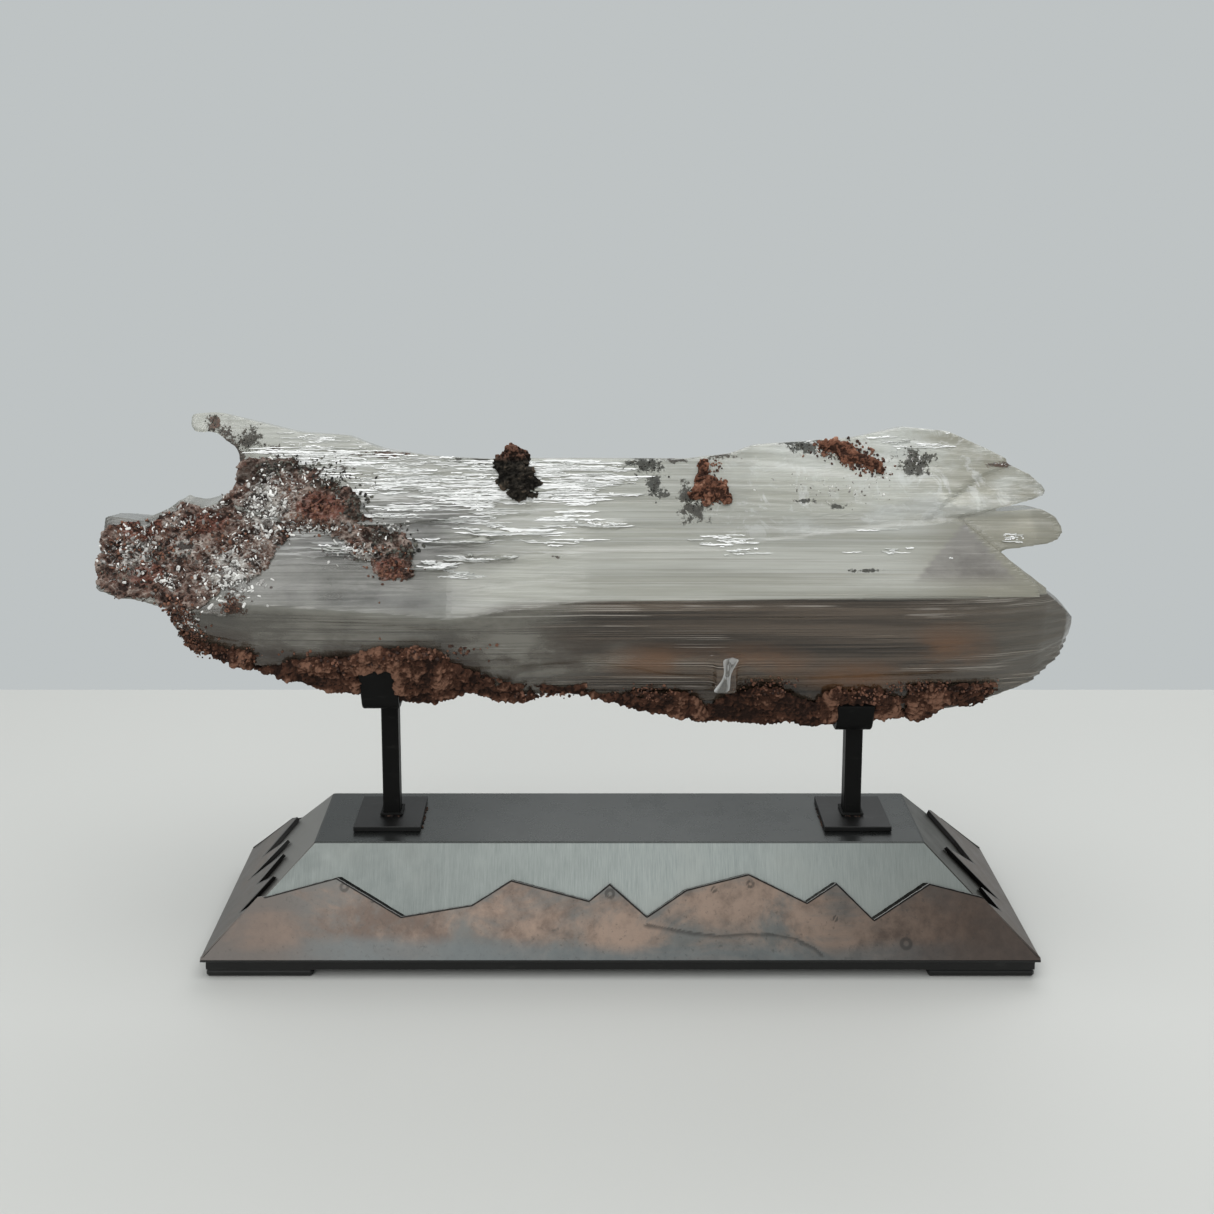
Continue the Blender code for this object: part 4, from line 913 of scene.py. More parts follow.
under_mesh = make_clay_piece("underside_crust", 0.0009, 0.0016, clay_lumps, UNDER_CLAY, 51)
end_mesh = make_clay_piece("end_crust", 0.0006, 0.0011, splinters, END_CLAY, 61)
make_clay_piece("dark_clod", 0.00045, 0.0016, clay_lumps, DARK_CLAY, 71)
make_clay_piece("red_clod", 0.0004, 0.0014, clay_lumps, RED_CLAY, 81)
make_clay_piece("shoulder_clod", 0.0004, 0.0012, clay_lumps, RED_CLAY, 91)

# %% [markdown]
# Small things lie on the crystal's front: white flakes, little crystals, crumbs. To seat them, the front is
# read as a table. Each cell of x and height keeps the foremost point of the crystal in it, and gaps take
# their neighbours'.

# %% Front of the crystal as a table
def make_front_table(meshes, low, high, step):
    """The smallest y of all points in each cell of x and height.

    A hole that is mostly walled in, and a cell with points of the back alone, take their neighbours' least.
    """
    points = np.concatenate([points_of(mesh) for mesh in meshes])
    size = np.ceil((np.array(high) - low) / step).astype(int) + 1
    cell = np.clip(((points[:, [0, 2]] - low) / step).round().astype(int), 0, size - 1)
    table = np.full(size, np.inf)
    np.minimum.at(table, (cell[:, 0], cell[:, 1]), points[:, 1])
    wide = np.pad(table, 1, constant_values=np.inf)
    shifted = [wide[i:i + size[0], j:j + size[1]] for i in range(3) for j in range(3)]
    walled = np.isfinite(shifted).sum(axis=0) >= 5
    foremost = np.min(shifted, axis=0)
    behind = np.isfinite(table) & (table > foremost + 0.012)
    table = np.where((np.isinf(table) & walled) | behind, foremost, table)
    return table, np.array(low), np.array(step)


def front_y(front, x, z):
    """The table's y between its four nearest cells, not a number beside the crystal."""
    table, low, step = front
    place_x, place_z = (x - low[0]) / step[0], (z - low[1]) / step[1]
    i = np.clip(np.floor(place_x).astype(int), 0, table.shape[0] - 2)
    j = np.clip(np.floor(place_z).astype(int), 0, table.shape[1] - 2)
    u, v = place_x - i, place_z - j
    return (table[i, j] * (1 - u) * (1 - v) + table[i + 1, j] * u * (1 - v)
            + table[i, j + 1] * (1 - u) * v + table[i + 1, j + 1] * u * v)


TABLE = ((-0.28, 0.11), (0.29, 0.31), (0.0040, 0.0016))
CRYSTAL_FRONT = make_front_table([crystal_mesh], *TABLE)
CRUSTED_FRONT = make_front_table([crystal_mesh, under_mesh, end_mesh], *TABLE)
print("front table:", CRYSTAL_FRONT[0].shape)

# %% [markdown]
# Where splits in selenite run out at its face, thin laths stand a little proud and flash white. They lie in
# stacks, one above the other, and end at different places like torn fibres. Each lath is a four-sided
# profile carried along the crystal, and both its ends run out to a point.

# %% White laths
# Each cluster: middle x and height, spread of both, number of stacks, most laths in a stack, longest lath
LATH_CLUSTERS = [
    (-0.1550, 0.2800, 0.028, 0.005, 26, 5, 0.014), (-0.1150, 0.2700, 0.036, 0.011, 36, 6, 0.013),
    (-0.0700, 0.2640, 0.024, 0.010, 24, 7, 0.015), (-0.0270, 0.2720, 0.014, 0.006, 16, 8, 0.018),
    (-0.0330, 0.2600, 0.016, 0.005, 12, 6, 0.016), (-0.0780, 0.2570, 0.010, 0.003, 5, 8, 0.014),
    (-0.0300, 0.2480, 0.010, 0.003, 4, 8, 0.012), (-0.0760, 0.2460, 0.008, 0.003, 4, 7, 0.012),
    (-0.0400, 0.2350, 0.016, 0.002, 3, 3, 0.018), (-0.1200, 0.2280, 0.030, 0.008, 6, 3, 0.008),
    (-0.0880, 0.2200, 0.010, 0.004, 4, 5, 0.008), (0.0620, 0.2370, 0.014, 0.003, 7, 4, 0.010),
    (0.1650, 0.2850, 0.018, 0.004, 8, 4, 0.009), (-0.1650, 0.2550, 0.016, 0.008, 6, 3, 0.007),
    (0.2100, 0.2380, 0.004, 0.002, 3, 4, 0.006), (0.1500, 0.2350, 0.040, 0.006, 5, 2, 0.008),
    (-0.1030, 0.2241, 0.0060, 0.0004, 4, 4, 0.0108), (-0.0723, 0.2283, 0.0075, 0.0004, 4, 4, 0.0134),
    (-0.1446, 0.2324, 0.0080, 0.0004, 4, 4, 0.0142), (-0.0884, 0.2366, 0.0106, 0.0004, 4, 4, 0.0189),
    (-0.0590, 0.2407, 0.0114, 0.0004, 4, 4, 0.0204), (-0.0084, 0.2449, 0.0053, 0.0004, 4, 4, 0.0095),
    (-0.1291, 0.2491, 0.0058, 0.0004, 4, 4, 0.0104), (-0.1238, 0.2532, 0.0090, 0.0004, 4, 4, 0.0160),
    (-0.1440, 0.2870, 0.0170, 0.0032, 18, 5, 0.013), (-0.1750, 0.2900, 0.0130, 0.0026, 8, 4, 0.009),
]
# Height of one lath and the next, depth of a lath's root in the crystal, and points along a lath
LATH_PITCH, LATH_ROOT, LATH_STATIONS = 0.00052, 0.0010, 10


def make_laths(name, clusters, seed):
    """Corner (lath, station, corner): x runs along the lath, height and depth shrink to 0 at both ends."""
    rng = np.random.default_rng(seed)
    stacks = rows_for_each(clusters)
    middles = stacks[:, :2] + stacks[:, 2:4] * rng.normal(0.0, 0.7, (len(stacks), 2))
    number = np.maximum(1, (stacks[:, 5] * rng.uniform(0.4, 1.8, len(stacks))).round().astype(int))
    which = np.repeat(np.arange(len(stacks)), number)
    order = np.concatenate([np.arange(many) for many in number]) - np.repeat(number / 2, number)
    count, stations = len(which), LATH_STATIONS
    longest = stacks[which, 6]
    length = longest * rng.uniform(0.15, 1.0, count) ** 1.5 * 1.9
    middle_x = middles[which, 0] + longest * rng.normal(0.0, 0.55, count)
    middle_z = middles[which, 1] + order * LATH_PITCH * rng.uniform(0.9, 1.1, count)
    share = np.linspace(0.0, 1.0, stations)
    full = np.clip(np.minimum(share * 9.0, (1.0 - share) * 9.0), 0.0, 1.0)
    half = LATH_PITCH * full * rng.uniform(0.2, 0.5, (count, stations)) * rng.uniform(0.4, 1.3, (count, 1))
    x = middle_x[:, None] + length[:, None] * (share - 0.5)
    level = middle_z[:, None] + 0.00012 * rng.normal(0.0, 1.0, (count, stations)) * full
    proud = rng.uniform(0.0001, 0.0004, (count, 1)) * full
    low, high = level - half, level + half
    corners = [(low, LATH_ROOT), (low, -proud), (high, -proud * 0.4), (high, LATH_ROOT)]
    x = x + STAND_X
    points = np.stack([np.stack([x, front_y(CRYSTAL_FRONT, x, z) + depth, z], -1) for z, depth in corners], 2)
    points = points[np.isfinite(points).all(axis=(1, 2, 3))]
    return rings_mesh(name, points, rng.uniform(0.0, 1.0, len(points)))


def rings_mesh(name, points, tone):
    """One closed skin for each item of an array (item, ring, corner, xyz). End rings have no width."""
    count, rings, corners = points.shape[:3]
    index = np.arange(count * rings * corners).reshape(count, rings, corners)
    around = np.roll(index, -1, axis=2)
    quads = np.stack([index[:, :-1], index[:, 1:], around[:, 1:], around[:, :-1]], -1).reshape(-1, 4)
    mesh = bpy.data.meshes.new(name)
    mesh.from_pydata(points.reshape(-1, 3), [], quads.tolist())
    set_mask(mesh, "tone", np.repeat(tone, rings * corners))
    open_edges = clean_mesh(mesh, SAME_POINT)
    print(name, "items:", count, "faces:", len(mesh.polygons), "open edges:", open_edges)
    return mesh


def make_pearl():
    """White laths with a pearly shine, some of them greyer by their own number."""
    finish = Finish("pearl_laths", roughness=0.22, Transmission_Weight=0.15, IOR=1.52, Specular_IOR_Level=0.9)
    colour = finish.mix(finish.band(finish.mask("tone"), 0.0, 0.7), (0.50, 0.51, 0.48), (0.98, 0.98, 0.97))
    finish.into("Base Color", colour)
    finish.into("Normal", finish.bump(finish.noise(1.0, stretch=(60.0, 90.0, 1500.0)), 0.0002, 0.6))
    return finish.material


lath_mesh = make_laths("white_laths", LATH_CLUSTERS, 5)
lath_mesh.materials.append(make_pearl())
add_piece("white_laths", lath_mesh)

# %% [markdown]
# The crust frays out into single grains: angular crumbs of clay, and little crystals that grew in its
# hollows. They lie densest in the places below: along the clay's borders, on its clods and in the pale
# hollows.

# %% Places of the grains
# Each place: x and height of the middle, half width, half height, number of grains, size in millimetres
RED_PLACES = [
    (-0.1638, 0.2532, 0.0131, 0.0071, 120, 1.4), (-0.1233, 0.2224, 0.0092, 0.0054, 110, 1.5),
    (-0.2555, 0.2369, 0.0228, 0.0141, 260, 1.5), (-0.2273, 0.2450, 0.0142, 0.0054, 80, 1.3),
    (-0.2157, 0.2334, 0.0130, 0.0076, 80, 1.3), (-0.2370, 0.1972, 0.0080, 0.0130, 300, 1.5),
    (-0.2320, 0.1800, 0.0070, 0.0080, 130, 1.3), (-0.2085, 0.2059, 0.0032, 0.0043, 70, 1.2),
    (0.1205, 0.2825, 0.0085, 0.0040, 260, 1.5), (0.1344, 0.2755, 0.0085, 0.0048, 240, 1.5),
    (0.0506, 0.2604, 0.0070, 0.0060, 90, 1.7), (0.0522, 0.2732, 0.0033, 0.0050, 30, 1.2),
    (0.0168, 0.1503, 0.0144, 0.0033, 80, 1.3), (0.0825, 0.1547, 0.0154, 0.0044, 90, 1.3),
    (0.1407, 0.1486, 0.0133, 0.0039, 80, 1.3), (0.1687, 0.1523, 0.0144, 0.0039, 80, 1.3),
    (0.2005, 0.1518, 0.0089, 0.0033, 60, 1.2), (-0.1026, 0.1777, 0.0269, 0.0043, 70, 1.7),
    (-0.1573, 0.1723, 0.0195, 0.0043, 50, 1.5), (-0.0442, 0.1486, 0.0188, 0.0033, 40, 1.5),
    (-0.2115, 0.1743, 0.0142, 0.0044, 40, 1.4), (0.1461, 0.2702, 0.0044, 0.0033, 20, 1.2),
    (-0.1700, 0.2440, 0.0180, 0.0026, 60, 1.2), (-0.1330, 0.2330, 0.0110, 0.0030, 40, 1.2),
]
DARK_PLACES = [
    (-0.1771, 0.2744, 0.0177, 0.0039, 110, 1.3), (-0.1587, 0.2665, 0.0110, 0.0061, 90, 1.3),
    (-0.1437, 0.2531, 0.0071, 0.0071, 70, 1.4), (-0.1281, 0.2386, 0.0098, 0.0049, 60, 1.3),
    (-0.1163, 0.2308, 0.0060, 0.0038, 50, 1.6), (-0.2280, 0.2965, 0.0028, 0.0045, 24, 1.0),
    (-0.2062, 0.2857, 0.0050, 0.0039, 50, 0.9), (0.0423, 0.2579, 0.0060, 0.0044, 60, 0.9),
    (0.1648, 0.2753, 0.0072, 0.0050, 70, 0.9), (0.1020, 0.2828, 0.0078, 0.0017, 40, 0.9),
    (0.0145, 0.2732, 0.0072, 0.0039, 60, 0.8), (0.0188, 0.2632, 0.0017, 0.0055, 20, 0.7),
    (-0.2546, 0.2270, 0.0216, 0.0108, 90, 1.2), (-0.1931, 0.2717, 0.0077, 0.0055, 60, 1.1),
    (0.1158, 0.2798, 0.0067, 0.0039, 40, 1.0),
]
PALE_PLACES = [
    (-0.1941, 0.2546, 0.0110, 0.0120, 330, 1.3), (-0.2090, 0.2205, 0.0140, 0.0097, 330, 1.4),
    (-0.1452, 0.2315, 0.0130, 0.0038, 100, 1.1), (-0.1286, 0.2420, 0.0098, 0.0038, 50, 1.1),
    (-0.1846, 0.2665, 0.0143, 0.0066, 120, 1.0), (-0.2627, 0.2314, 0.0150, 0.0120, 220, 1.3),
    (-0.2403, 0.2467, 0.0120, 0.0049, 90, 1.2), (-0.1549, 0.2701, 0.0188, 0.0066, 90, 0.9),
    (-0.2227, 0.2533, 0.0060, 0.0040, 60, 1.0), (-0.2428, 0.2185, 0.0075, 0.0043, 90, 1.2),
    (0.1649, 0.2763, 0.0055, 0.0044, 50, 0.8), (-0.1986, 0.2368, 0.0109, 0.0076, 110, 1.2),
    (0.2120, 0.2740, 0.0044, 0.0017, 16, 0.8), (-0.1720, 0.2432, 0.0200, 0.0030, 170, 1.1),
    (-0.2340, 0.1950, 0.0050, 0.0110, 110, 1.2), (0.1400, 0.2660, 0.0120, 0.0080, 40, 0.7),
    (0.1344, 0.2763, 0.0060, 0.0030, 30, 1.0), (0.1120, 0.2620, 0.0200, 0.0070, 90, 0.6),
]
print("grains to place:", [sum(row[4] for row in rows) for rows in (RED_PLACES, DARK_PLACES, PALE_PLACES)])

# %% [markdown]
# A grain could be a copy of one small ball, but copies look alike. So all grains of one kind are one array,
# and each has random radii, its own stretch and its own turn. A grain is a stack of rings from pole to
# pole. Crumbs are round and turned at random. Crystals are flat blades that lean the same way in each small
# bunch, as they grew.

# %% Grain shapes
# Rings of a grain as height and radius, both in shares of its size
CRUMB_RINGS = [(-0.5, 0.0), (-0.34, 0.36), (0.0, 0.5), (0.34, 0.36), (0.5, 0.0)]
BLADE_RINGS = [(-0.85, 0.0), (-0.6, 0.24), (0.6, 0.24), (0.85, 0.0)]
BLADE_SHAPE = (1.5, 0.5, 1.0)
# Size of a bunch of blades, and the least room between a grain's middle and the frame's box
BUNCH, BOX_ROOM = 0.0026, 0.0015


def random_turns(rng, count):
    """Even random turns: a random unit quaternion for each item, written out as a matrix."""
    w, x, y, z = rng.normal(size=(4, count))
    length = np.sqrt(w * w + x * x + y * y + z * z)
    w, x, y, z = w / length, x / length, y / length, z / length
    return np.stack([
        1 - 2 * (y * y + z * z), 2 * (x * y - w * z), 2 * (x * z + w * y),
        2 * (x * y + w * z), 1 - 2 * (x * x + z * z), 2 * (y * z - w * x),
        2 * (x * z - w * y), 2 * (y * z + w * x), 1 - 2 * (x * x + y * y),
    ], -1).reshape(count, 3, 3)


def fanned_turns(rng, middles):
    """Turns in bunches: all grains in one cell lean the same way along the front, give or take 20 degrees."""
    cell = np.floor(middles / BUNCH).astype(np.int64)
    lean = 2 * math.pi * lattice(cell, 77) + rng.normal(0.0, 0.35, len(middles))
    nod = rng.normal(0.0, 0.45, len(middles))
    along = np.stack([np.cos(lean) * np.cos(nod), np.sin(nod), np.sin(lean) * np.cos(nod)], -1)
    side = np.stack([-np.sin(lean), np.zeros(len(lean)), np.cos(lean)], -1)
    return np.stack([side, np.cross(along, side), along], -1)


def make_grains(name, middles, size, rings, sides, jitter, seed):
    """Grain point = middle + turn @ (size * ring(height, radius * (1 + jitter * random)))."""
    rng = np.random.default_rng(seed)
    count = len(middles)
    height, radius = np.array(rings).T
    angle = np.linspace(0.0, 2 * math.pi, sides, endpoint=False)
    own = radius[:, None] * (1.0 + jitter * rng.uniform(-1.0, 1.0, (count, len(rings), sides)))
    along = np.broadcast_to(height[:, None], own.shape)
    shape = np.stack([own * np.cos(angle), own * np.sin(angle), along], -1)
    shape *= rng.uniform(0.5, 1.35, (count, 1, 1, 3)) * size[:, None, None, None]
    if rings is BLADE_RINGS:
        shape *= np.array(BLADE_SHAPE) * rng.uniform(0.45, 1.35, (count, 1, 1, 1))
        turns = fanned_turns(rng, middles)
    else:
        turns = random_turns(rng, count)
    points = np.einsum("nij,nrcj->nrci", turns, shape) + middles[:, None, None, :]
    return rings_mesh(name, points, rng.uniform(0.0, 1.0, count))


print("rings of a crumb and a blade:", len(CRUMB_RINGS), len(BLADE_RINGS))

# %% [markdown]
# Each grain is set on the front's table and sunk in by a share of its size. One number for each grain gives
# it its own tone, so that neighbours differ.

# %% Grains on the front
def on_front(places, sink, seed):
    """Middles spread over each place, denser inside, and pushed into the front by a share of their size."""
    rng = np.random.default_rng(seed)
    rows = rows_for_each(places)
    x, z = (rows[:, :2] + rows[:, 2:4] * rng.normal(0.0, 0.62, (len(rows), 2))).T
    size = rows[:, 5] * 0.001 * rng.uniform(0.5, 1.35, len(rows))
    middles = np.stack([x + STAND_X, front_y(CRUSTED_FRONT, x + STAND_X, z) + sink * size, z], -1)
    inside = (middles > np.array(CAD_BOX[0]) + BOX_ROOM) & (middles < np.array(CAD_BOX[1]) - BOX_ROOM)
    kept = (np.isfinite(middles) & inside).all(axis=1)
    return middles[kept], size[kept]


def make_grain_tone():
    """Colour between Dark and Light by 0.9 Tone + 0.5 grain - 0.2, where Tone is the grain's own number."""
    effect = Effect("grain tone", Place=ORIGIN, Tone=0.5, Dark=BLACK, Light=WHITE)
    grain = effect.noise(900.0, detail=4.0)
    own = effect.maths("MULTIPLY_ADD", effect.given["Tone"], 0.9, -0.2)
    share = effect.band(effect.maths("MULTIPLY_ADD", grain, 0.5, own), 0.1, 0.95)
    return effect.give(Colour=effect.mix(share, effect.given["Dark"], effect.given["Light"]), Height=grain)


GRAIN_TONE = make_grain_tone()


def make_grain_finish(name, dark, light, roughness, **plain):
    """The shared grain tone with this kind's two colours."""
    finish = Finish(name, roughness=roughness, **plain)
    tone = finish.effect(GRAIN_TONE, Place=finish.place, Tone=finish.mask("tone"), Dark=dark, Light=light)
    finish.into("Base Color", tone["Colour"])
    finish.into("Normal", finish.bump(tone["Height"], 0.0004, 0.5))
    return finish.material


RED_CRUMB = make_grain_finish("red_crumb", (0.028, 0.012, 0.008), (0.205, 0.092, 0.056), 0.85)
DARK_CRUMB = make_grain_finish("dark_crumb", (0.010, 0.009, 0.007), (0.120, 0.116, 0.095), 0.8)
PALE_CRYSTAL = make_grain_finish("pale_crystal", (0.060, 0.042, 0.034), (0.90, 0.89, 0.86), 0.2, IOR=1.52)
# Places, share of a grain's size that is sunk in, rings, sides, unevenness, slot and finish
GRAINS = {
    "red_crumbs": (RED_PLACES, 0.15, CRUMB_RINGS, 7, 0.35, "iron_clay", RED_CRUMB),
    "dark_crumbs": (DARK_PLACES, 0.15, CRUMB_RINGS, 7, 0.35, "dark_clay", DARK_CRUMB),
    "pale_crystals": (PALE_PLACES, 0.0, BLADE_RINGS, 6, 0.08, "selenite", PALE_CRYSTAL),
}
for seed, (name, (places, sink, rings, sides, jitter, slot, material)) in enumerate(GRAINS.items()):
    grains = make_grains(name, *on_front(places, sink, 30 + seed), rings, sides, jitter, 40 + seed)
    grains.materials.append(material)
    add_piece(name, grains)

# %% [markdown]
# Welding left burnt crumbs on the stand beside the plates and on the plates at the posts' feet. They are
# the same grains, spread evenly over narrow strips on two level surfaces.

# %% Weld crumbs
ON_STAND, ON_PLATE = STAND_TOP_Z + 0.0002, STAND_TOP_Z + 0.0034
# Each strip: x and y of the middle, half width, half depth, number of crumbs, height
WELD_PLACES = [
    (-0.1125, -0.0020, 0.0006, 0.0120, 46, ON_STAND), (0.1165, -0.0020, 0.0006, 0.0120, 46, ON_STAND),
    (-0.1310, -0.0060, 0.0045, 0.0008, 16, ON_PLATE), (0.1346, -0.0060, 0.0045, 0.0008, 16, ON_PLATE),
]


def on_top(places, seed):
    """Middles spread evenly over each place on a level surface."""
    rng = np.random.default_rng(seed)
    rows = rows_for_each(places)
    x, y = (rows[:, :2] + rows[:, 2:4] * rng.uniform(-1.0, 1.0, (len(rows), 2))).T
    return np.stack([x + STAND_X, y, rows[:, 5]], -1), 0.001 * rng.uniform(0.5, 1.3, len(rows))


weld_crumbs = make_grains("weld_crumbs", *on_top(WELD_PLACES, 60), CRUMB_RINGS, 7, 0.35, 61)
BURNT_CRUMB = make_grain_finish("burnt_crumb", (0.008, 0.006, 0.005), (0.100, 0.050, 0.030), 0.7)
weld_crumbs.materials.append(BURNT_CRUMB)
add_piece("weld_crumbs", weld_crumbs)

# %% [markdown]
# A small clear chip sticks to the lower face. It is narrow in its middle and wide at both ends, like a
# bone. One round profile is carried up a short path, with a width that follows a cosine.

# %% Clear chip
CHIP_WAIST, CHIP_FLARE = 0.0019, 0.0022


def make_chip(name, foot, head, thick):
    """p(u, v) = axis(v) + (w(v) cos u, thick w(v) sin u), closed at v = 0 and 1.

    w = waist + flare cos^2(pi v) is widest at both ends.
    """
    v = np.linspace(0.0, 1.0, 22)
    u = np.linspace(0.0, 2 * math.pi, 28, endpoint=False)
    closing = np.clip(np.minimum(v, 1 - v) * 14.0, 0.0, 1.0) ** 0.5
    width = (CHIP_WAIST + CHIP_FLARE * np.cos(math.pi * v) ** 2) * closing
    x = foot[0] + (head[0] - foot[0]) * v + 0.0006 * np.sin(5.0 * v)
    z = foot[1] + (head[1] - foot[1]) * v
    y = front_y(CRYSTAL_FRONT, x + STAND_X, z) - thick * 0.3
    ribs = 1.0 + 0.10 * np.sin(3 * u)[None, :] + 0.05 * np.sin(7 * u + 1.0)[None, :]
    points = np.stack([
        (x + STAND_X)[:, None] + width[:, None] * np.cos(u) * ribs,
        y[:, None] + thick * (width / width.max())[:, None] * np.sin(u),
        z[:, None] + 0 * u,
    ], -1)
    mesh = rings_mesh(name, points[None], np.ones(1))
    made_x, made_z = face_place(points_of(mesh))
    from_axis = np.abs(made_x - np.interp(made_z, z, x)) / np.interp(made_z, z, width + 1e-6)
    # The rim mask marks where the finish paints a highlight along the chip's edges
    set_mask(mesh, "rim", smooth_step(from_axis, 0.45, 0.95))
    return mesh


chip = make_chip("clear_chip", (0.0545, 0.1525), (0.0615, 0.1735), 0.0012)
CHIP_FINISH = Finish("clear_chip", roughness=0.05, Transmission_Weight=0.6, IOR=1.52)
veins = CHIP_FINISH.band(CHIP_FINISH.noise(260.0, stretch=(1.0, 1.0, 0.35), distortion=1.0), 0.52, 0.58)
# White along the rim is a painted highlight; the white veins are the chip's own
bright = CHIP_FINISH.maths("MAXIMUM", CHIP_FINISH.mask("rim"), CHIP_FINISH.maths("MULTIPLY", veins, 0.7))
CHIP_FINISH.into("Base Color", CHIP_FINISH.mix(bright, (0.28, 0.27, 0.25), (0.97, 0.97, 0.96)))
chip.materials.append(CHIP_FINISH.material)
add_piece("clear_chip", chip)

# %% [markdown]
# The four sheets on the sloping sides have a cut top edge like a line of mountains. The cut edge and a thin
# band along it are black, and the rounded corner carries a painted highlight. Each sheet is one surface of
# two parameters: columns stand side by side along the slope, and a closed profile runs up the outside, over
# the cut edge and down the inside. A column is as high as the lower of two lines: the mountain line, and the
# mitre where the next side's sheet begins.

# %% Shape of the patterned sheets
SHEET_BASE_Z, SHEET_THICK, SHEET_GAP = 0.0115, 0.0024, 0.0003
# Width of a column, radius of the rounded corner, and steps up the outside and round the corner
COLUMN_WIDTH, EDGE_RADIUS, SLOPE_STEPS, BEND_STEPS = 0.0005, 0.00035, 33, 5
FRONT_LINE = [
    (-0.1954, 0.520), (-0.1567, 0.687), (-0.1200, 0.350), (-0.0815, 0.451), (-0.0601, 0.666),
    (-0.0172, 0.488), (-0.0056, 0.635), (0.0148, 0.352), (0.0365, 0.582), (0.0714, 0.720),
    (0.1028, 0.471), (0.1197, 0.641), (0.1392, 0.323), (0.1709, 0.637), (0.2011, 0.514),
]
LEFT_LINE = [
    (-0.0520, 0.520), (-0.0430, 0.300), (-0.0330, 0.600), (-0.0200, 0.380), (-0.0080, 0.605),
    (0.0030, 0.180), (0.0120, 0.577), (0.0240, 0.250), (0.0400, 0.575), (0.0520, 0.415),
]
RIGHT_LINE = [
    (-0.0500, 0.514), (-0.0370, 0.250), (-0.0260, 0.400), (-0.0180, 0.170), (-0.0080, 0.688),
    (0.0120, 0.280), (0.0260, 0.420), (0.0380, 0.682), (0.0520, 0.540),
]
# Half lengths along and across the stand: of the core under the sheets at its base and top, and over them
LENGTHS, DEPTHS = (0.22461, 0.17025, 0.22850), (0.05809, 0.03000, 0.06115)


def line_distance(line, across, up):
    """Distance of each point to a broken line: the least of the distances to its straight parts."""
    start, stop = line[:-1], line[1:]
    way = stop - start
    away = np.stack([across, up], -1)[..., None, :] - start
    share = np.clip((away * way).sum(-1) / (way * way).sum(-1), 0.0, 1.0)
    return np.hypot(*np.moveaxis(away - share[..., None] * way, -1, 0)).min(axis=-1)


def make_sheet(name, line, turn, depth, length):
    """p(column, v) = foot + t(v) up_slope + d(v) outward. t ends at min(mountain line, mitre) in each column.

    The sheet's foot is level, so t starts lower on the outside. The mitre lets the columns fan out with d.
    """
    rise, run = STAND_TOP_Z - SHEET_BASE_Z, depth[0] - depth[1]
    slant = math.hypot(rise, run)
    up_y, up_z = run / slant, rise / slant
    line = np.array([(across, share * slant) for across, share in line])
    fan = length[2] / length[0]
    reach = length[0] - SHEET_GAP
    even = np.linspace(-reach, reach, int(reach / COLUMN_WIDTH))
    columns = np.unique(np.concatenate([even, line[:, 0] / fan]).round(5))
    columns = columns[np.abs(columns) <= reach]
    ragged = 0.00012 * cell_noise(np.stack([columns, columns * 0, columns * 0], 1), 0.0015, 7)
    mountain = np.interp(columns * fan, line[:, 0], line[:, 1]) + ragged
    mitre = (reach - np.abs(columns)) / (length[0] - length[1]) * slant
    top = np.maximum(np.minimum(mountain, mitre), 0.0)
    bend = np.linspace(0.0, math.pi / 2, BEND_STEPS)
    outside = np.linspace(0.0, 1.0, SLOPE_STEPS + 1)[:-1]
    inside = np.zeros(BEND_STEPS)
    shares = np.concatenate([outside, np.ones(BEND_STEPS + 1), np.linspace(1.0, 0.0, BEND_STEPS)])
    drops = np.concatenate([np.zeros(SLOPE_STEPS), EDGE_RADIUS * (1 - np.sin(bend)), [0.0], inside])
    rounded = SHEET_THICK - EDGE_RADIUS * (1 - np.cos(bend))
    depths = np.concatenate([np.full(SLOPE_STEPS, SHEET_THICK), rounded, [SHEET_THICK / 2], inside])
    away = depths[:, None] + SHEET_GAP
    start = -away * up_y / up_z
    up = start + shares[:, None] * (np.maximum(top - drops[:, None], 0.0) - start)
    across = columns * (1.0 + (fan - 1.0) * depths[:, None] / SHEET_THICK)
    y = -depth[0] + up * up_y - away * up_z
    z = SHEET_BASE_Z + up * up_z + away * up_y
    points = np.stack([across, y, z], -1)
    cos, sin = math.cos(turn), math.sin(turn)
    points[..., 0], points[..., 1] = across * cos - y * sin + STAND_X, across * sin + y * cos
    mesh = grid_mesh(name, points.transpose(1, 0, 2), closed_u=True)
    from_edge = line_distance(line, across, np.minimum(up, mountain))
    on_edge = (depths < SHEET_THICK) & (shares > 0.99)
    # The rounded corner gets a painted highlight in the patina
    highlight_corner = on_edge & (depths > SHEET_THICK * 0.9)
    masks = dict(from_edge=from_edge, up_share=up / slant)
    masks |= dict(cut_edge=on_edge[:, None], corner=highlight_corner[:, None])
    for name_of_mask, values in masks.items():
        set_mask(mesh, name_of_mask, np.broadcast_to(values, up.shape).T.ravel().astype(float))
    open_edges = clean_mesh(mesh, SHEET_MERGE, fill=True)
    print(name, "faces:", len(mesh.polygons), "open edges:", open_edges)
    return mesh

# %% [markdown]
# The sheets were coloured by heat and chemicals: grey steel with copper-brown clouds, blue near the foot,
# red at the right and dark at the left. Drops left dark rings, and one run of liquid dried in a line.
# Clouds are noise, and the rings and the run are masks from their distance.

# %% Patina
# Dark ring spots on the front sheet: x, height, radius
RINGS = [
    (-0.0055, 0.0412, 0.0030), (0.1558, 0.0188, 0.0036), (0.0721, 0.0457, 0.0024),
    (-0.1520, 0.0443, 0.0028), (0.0520, 0.0430, 0.0018), (-0.1360, 0.0380, 0.0014),
    (0.1180, 0.0300, 0.0016),
]
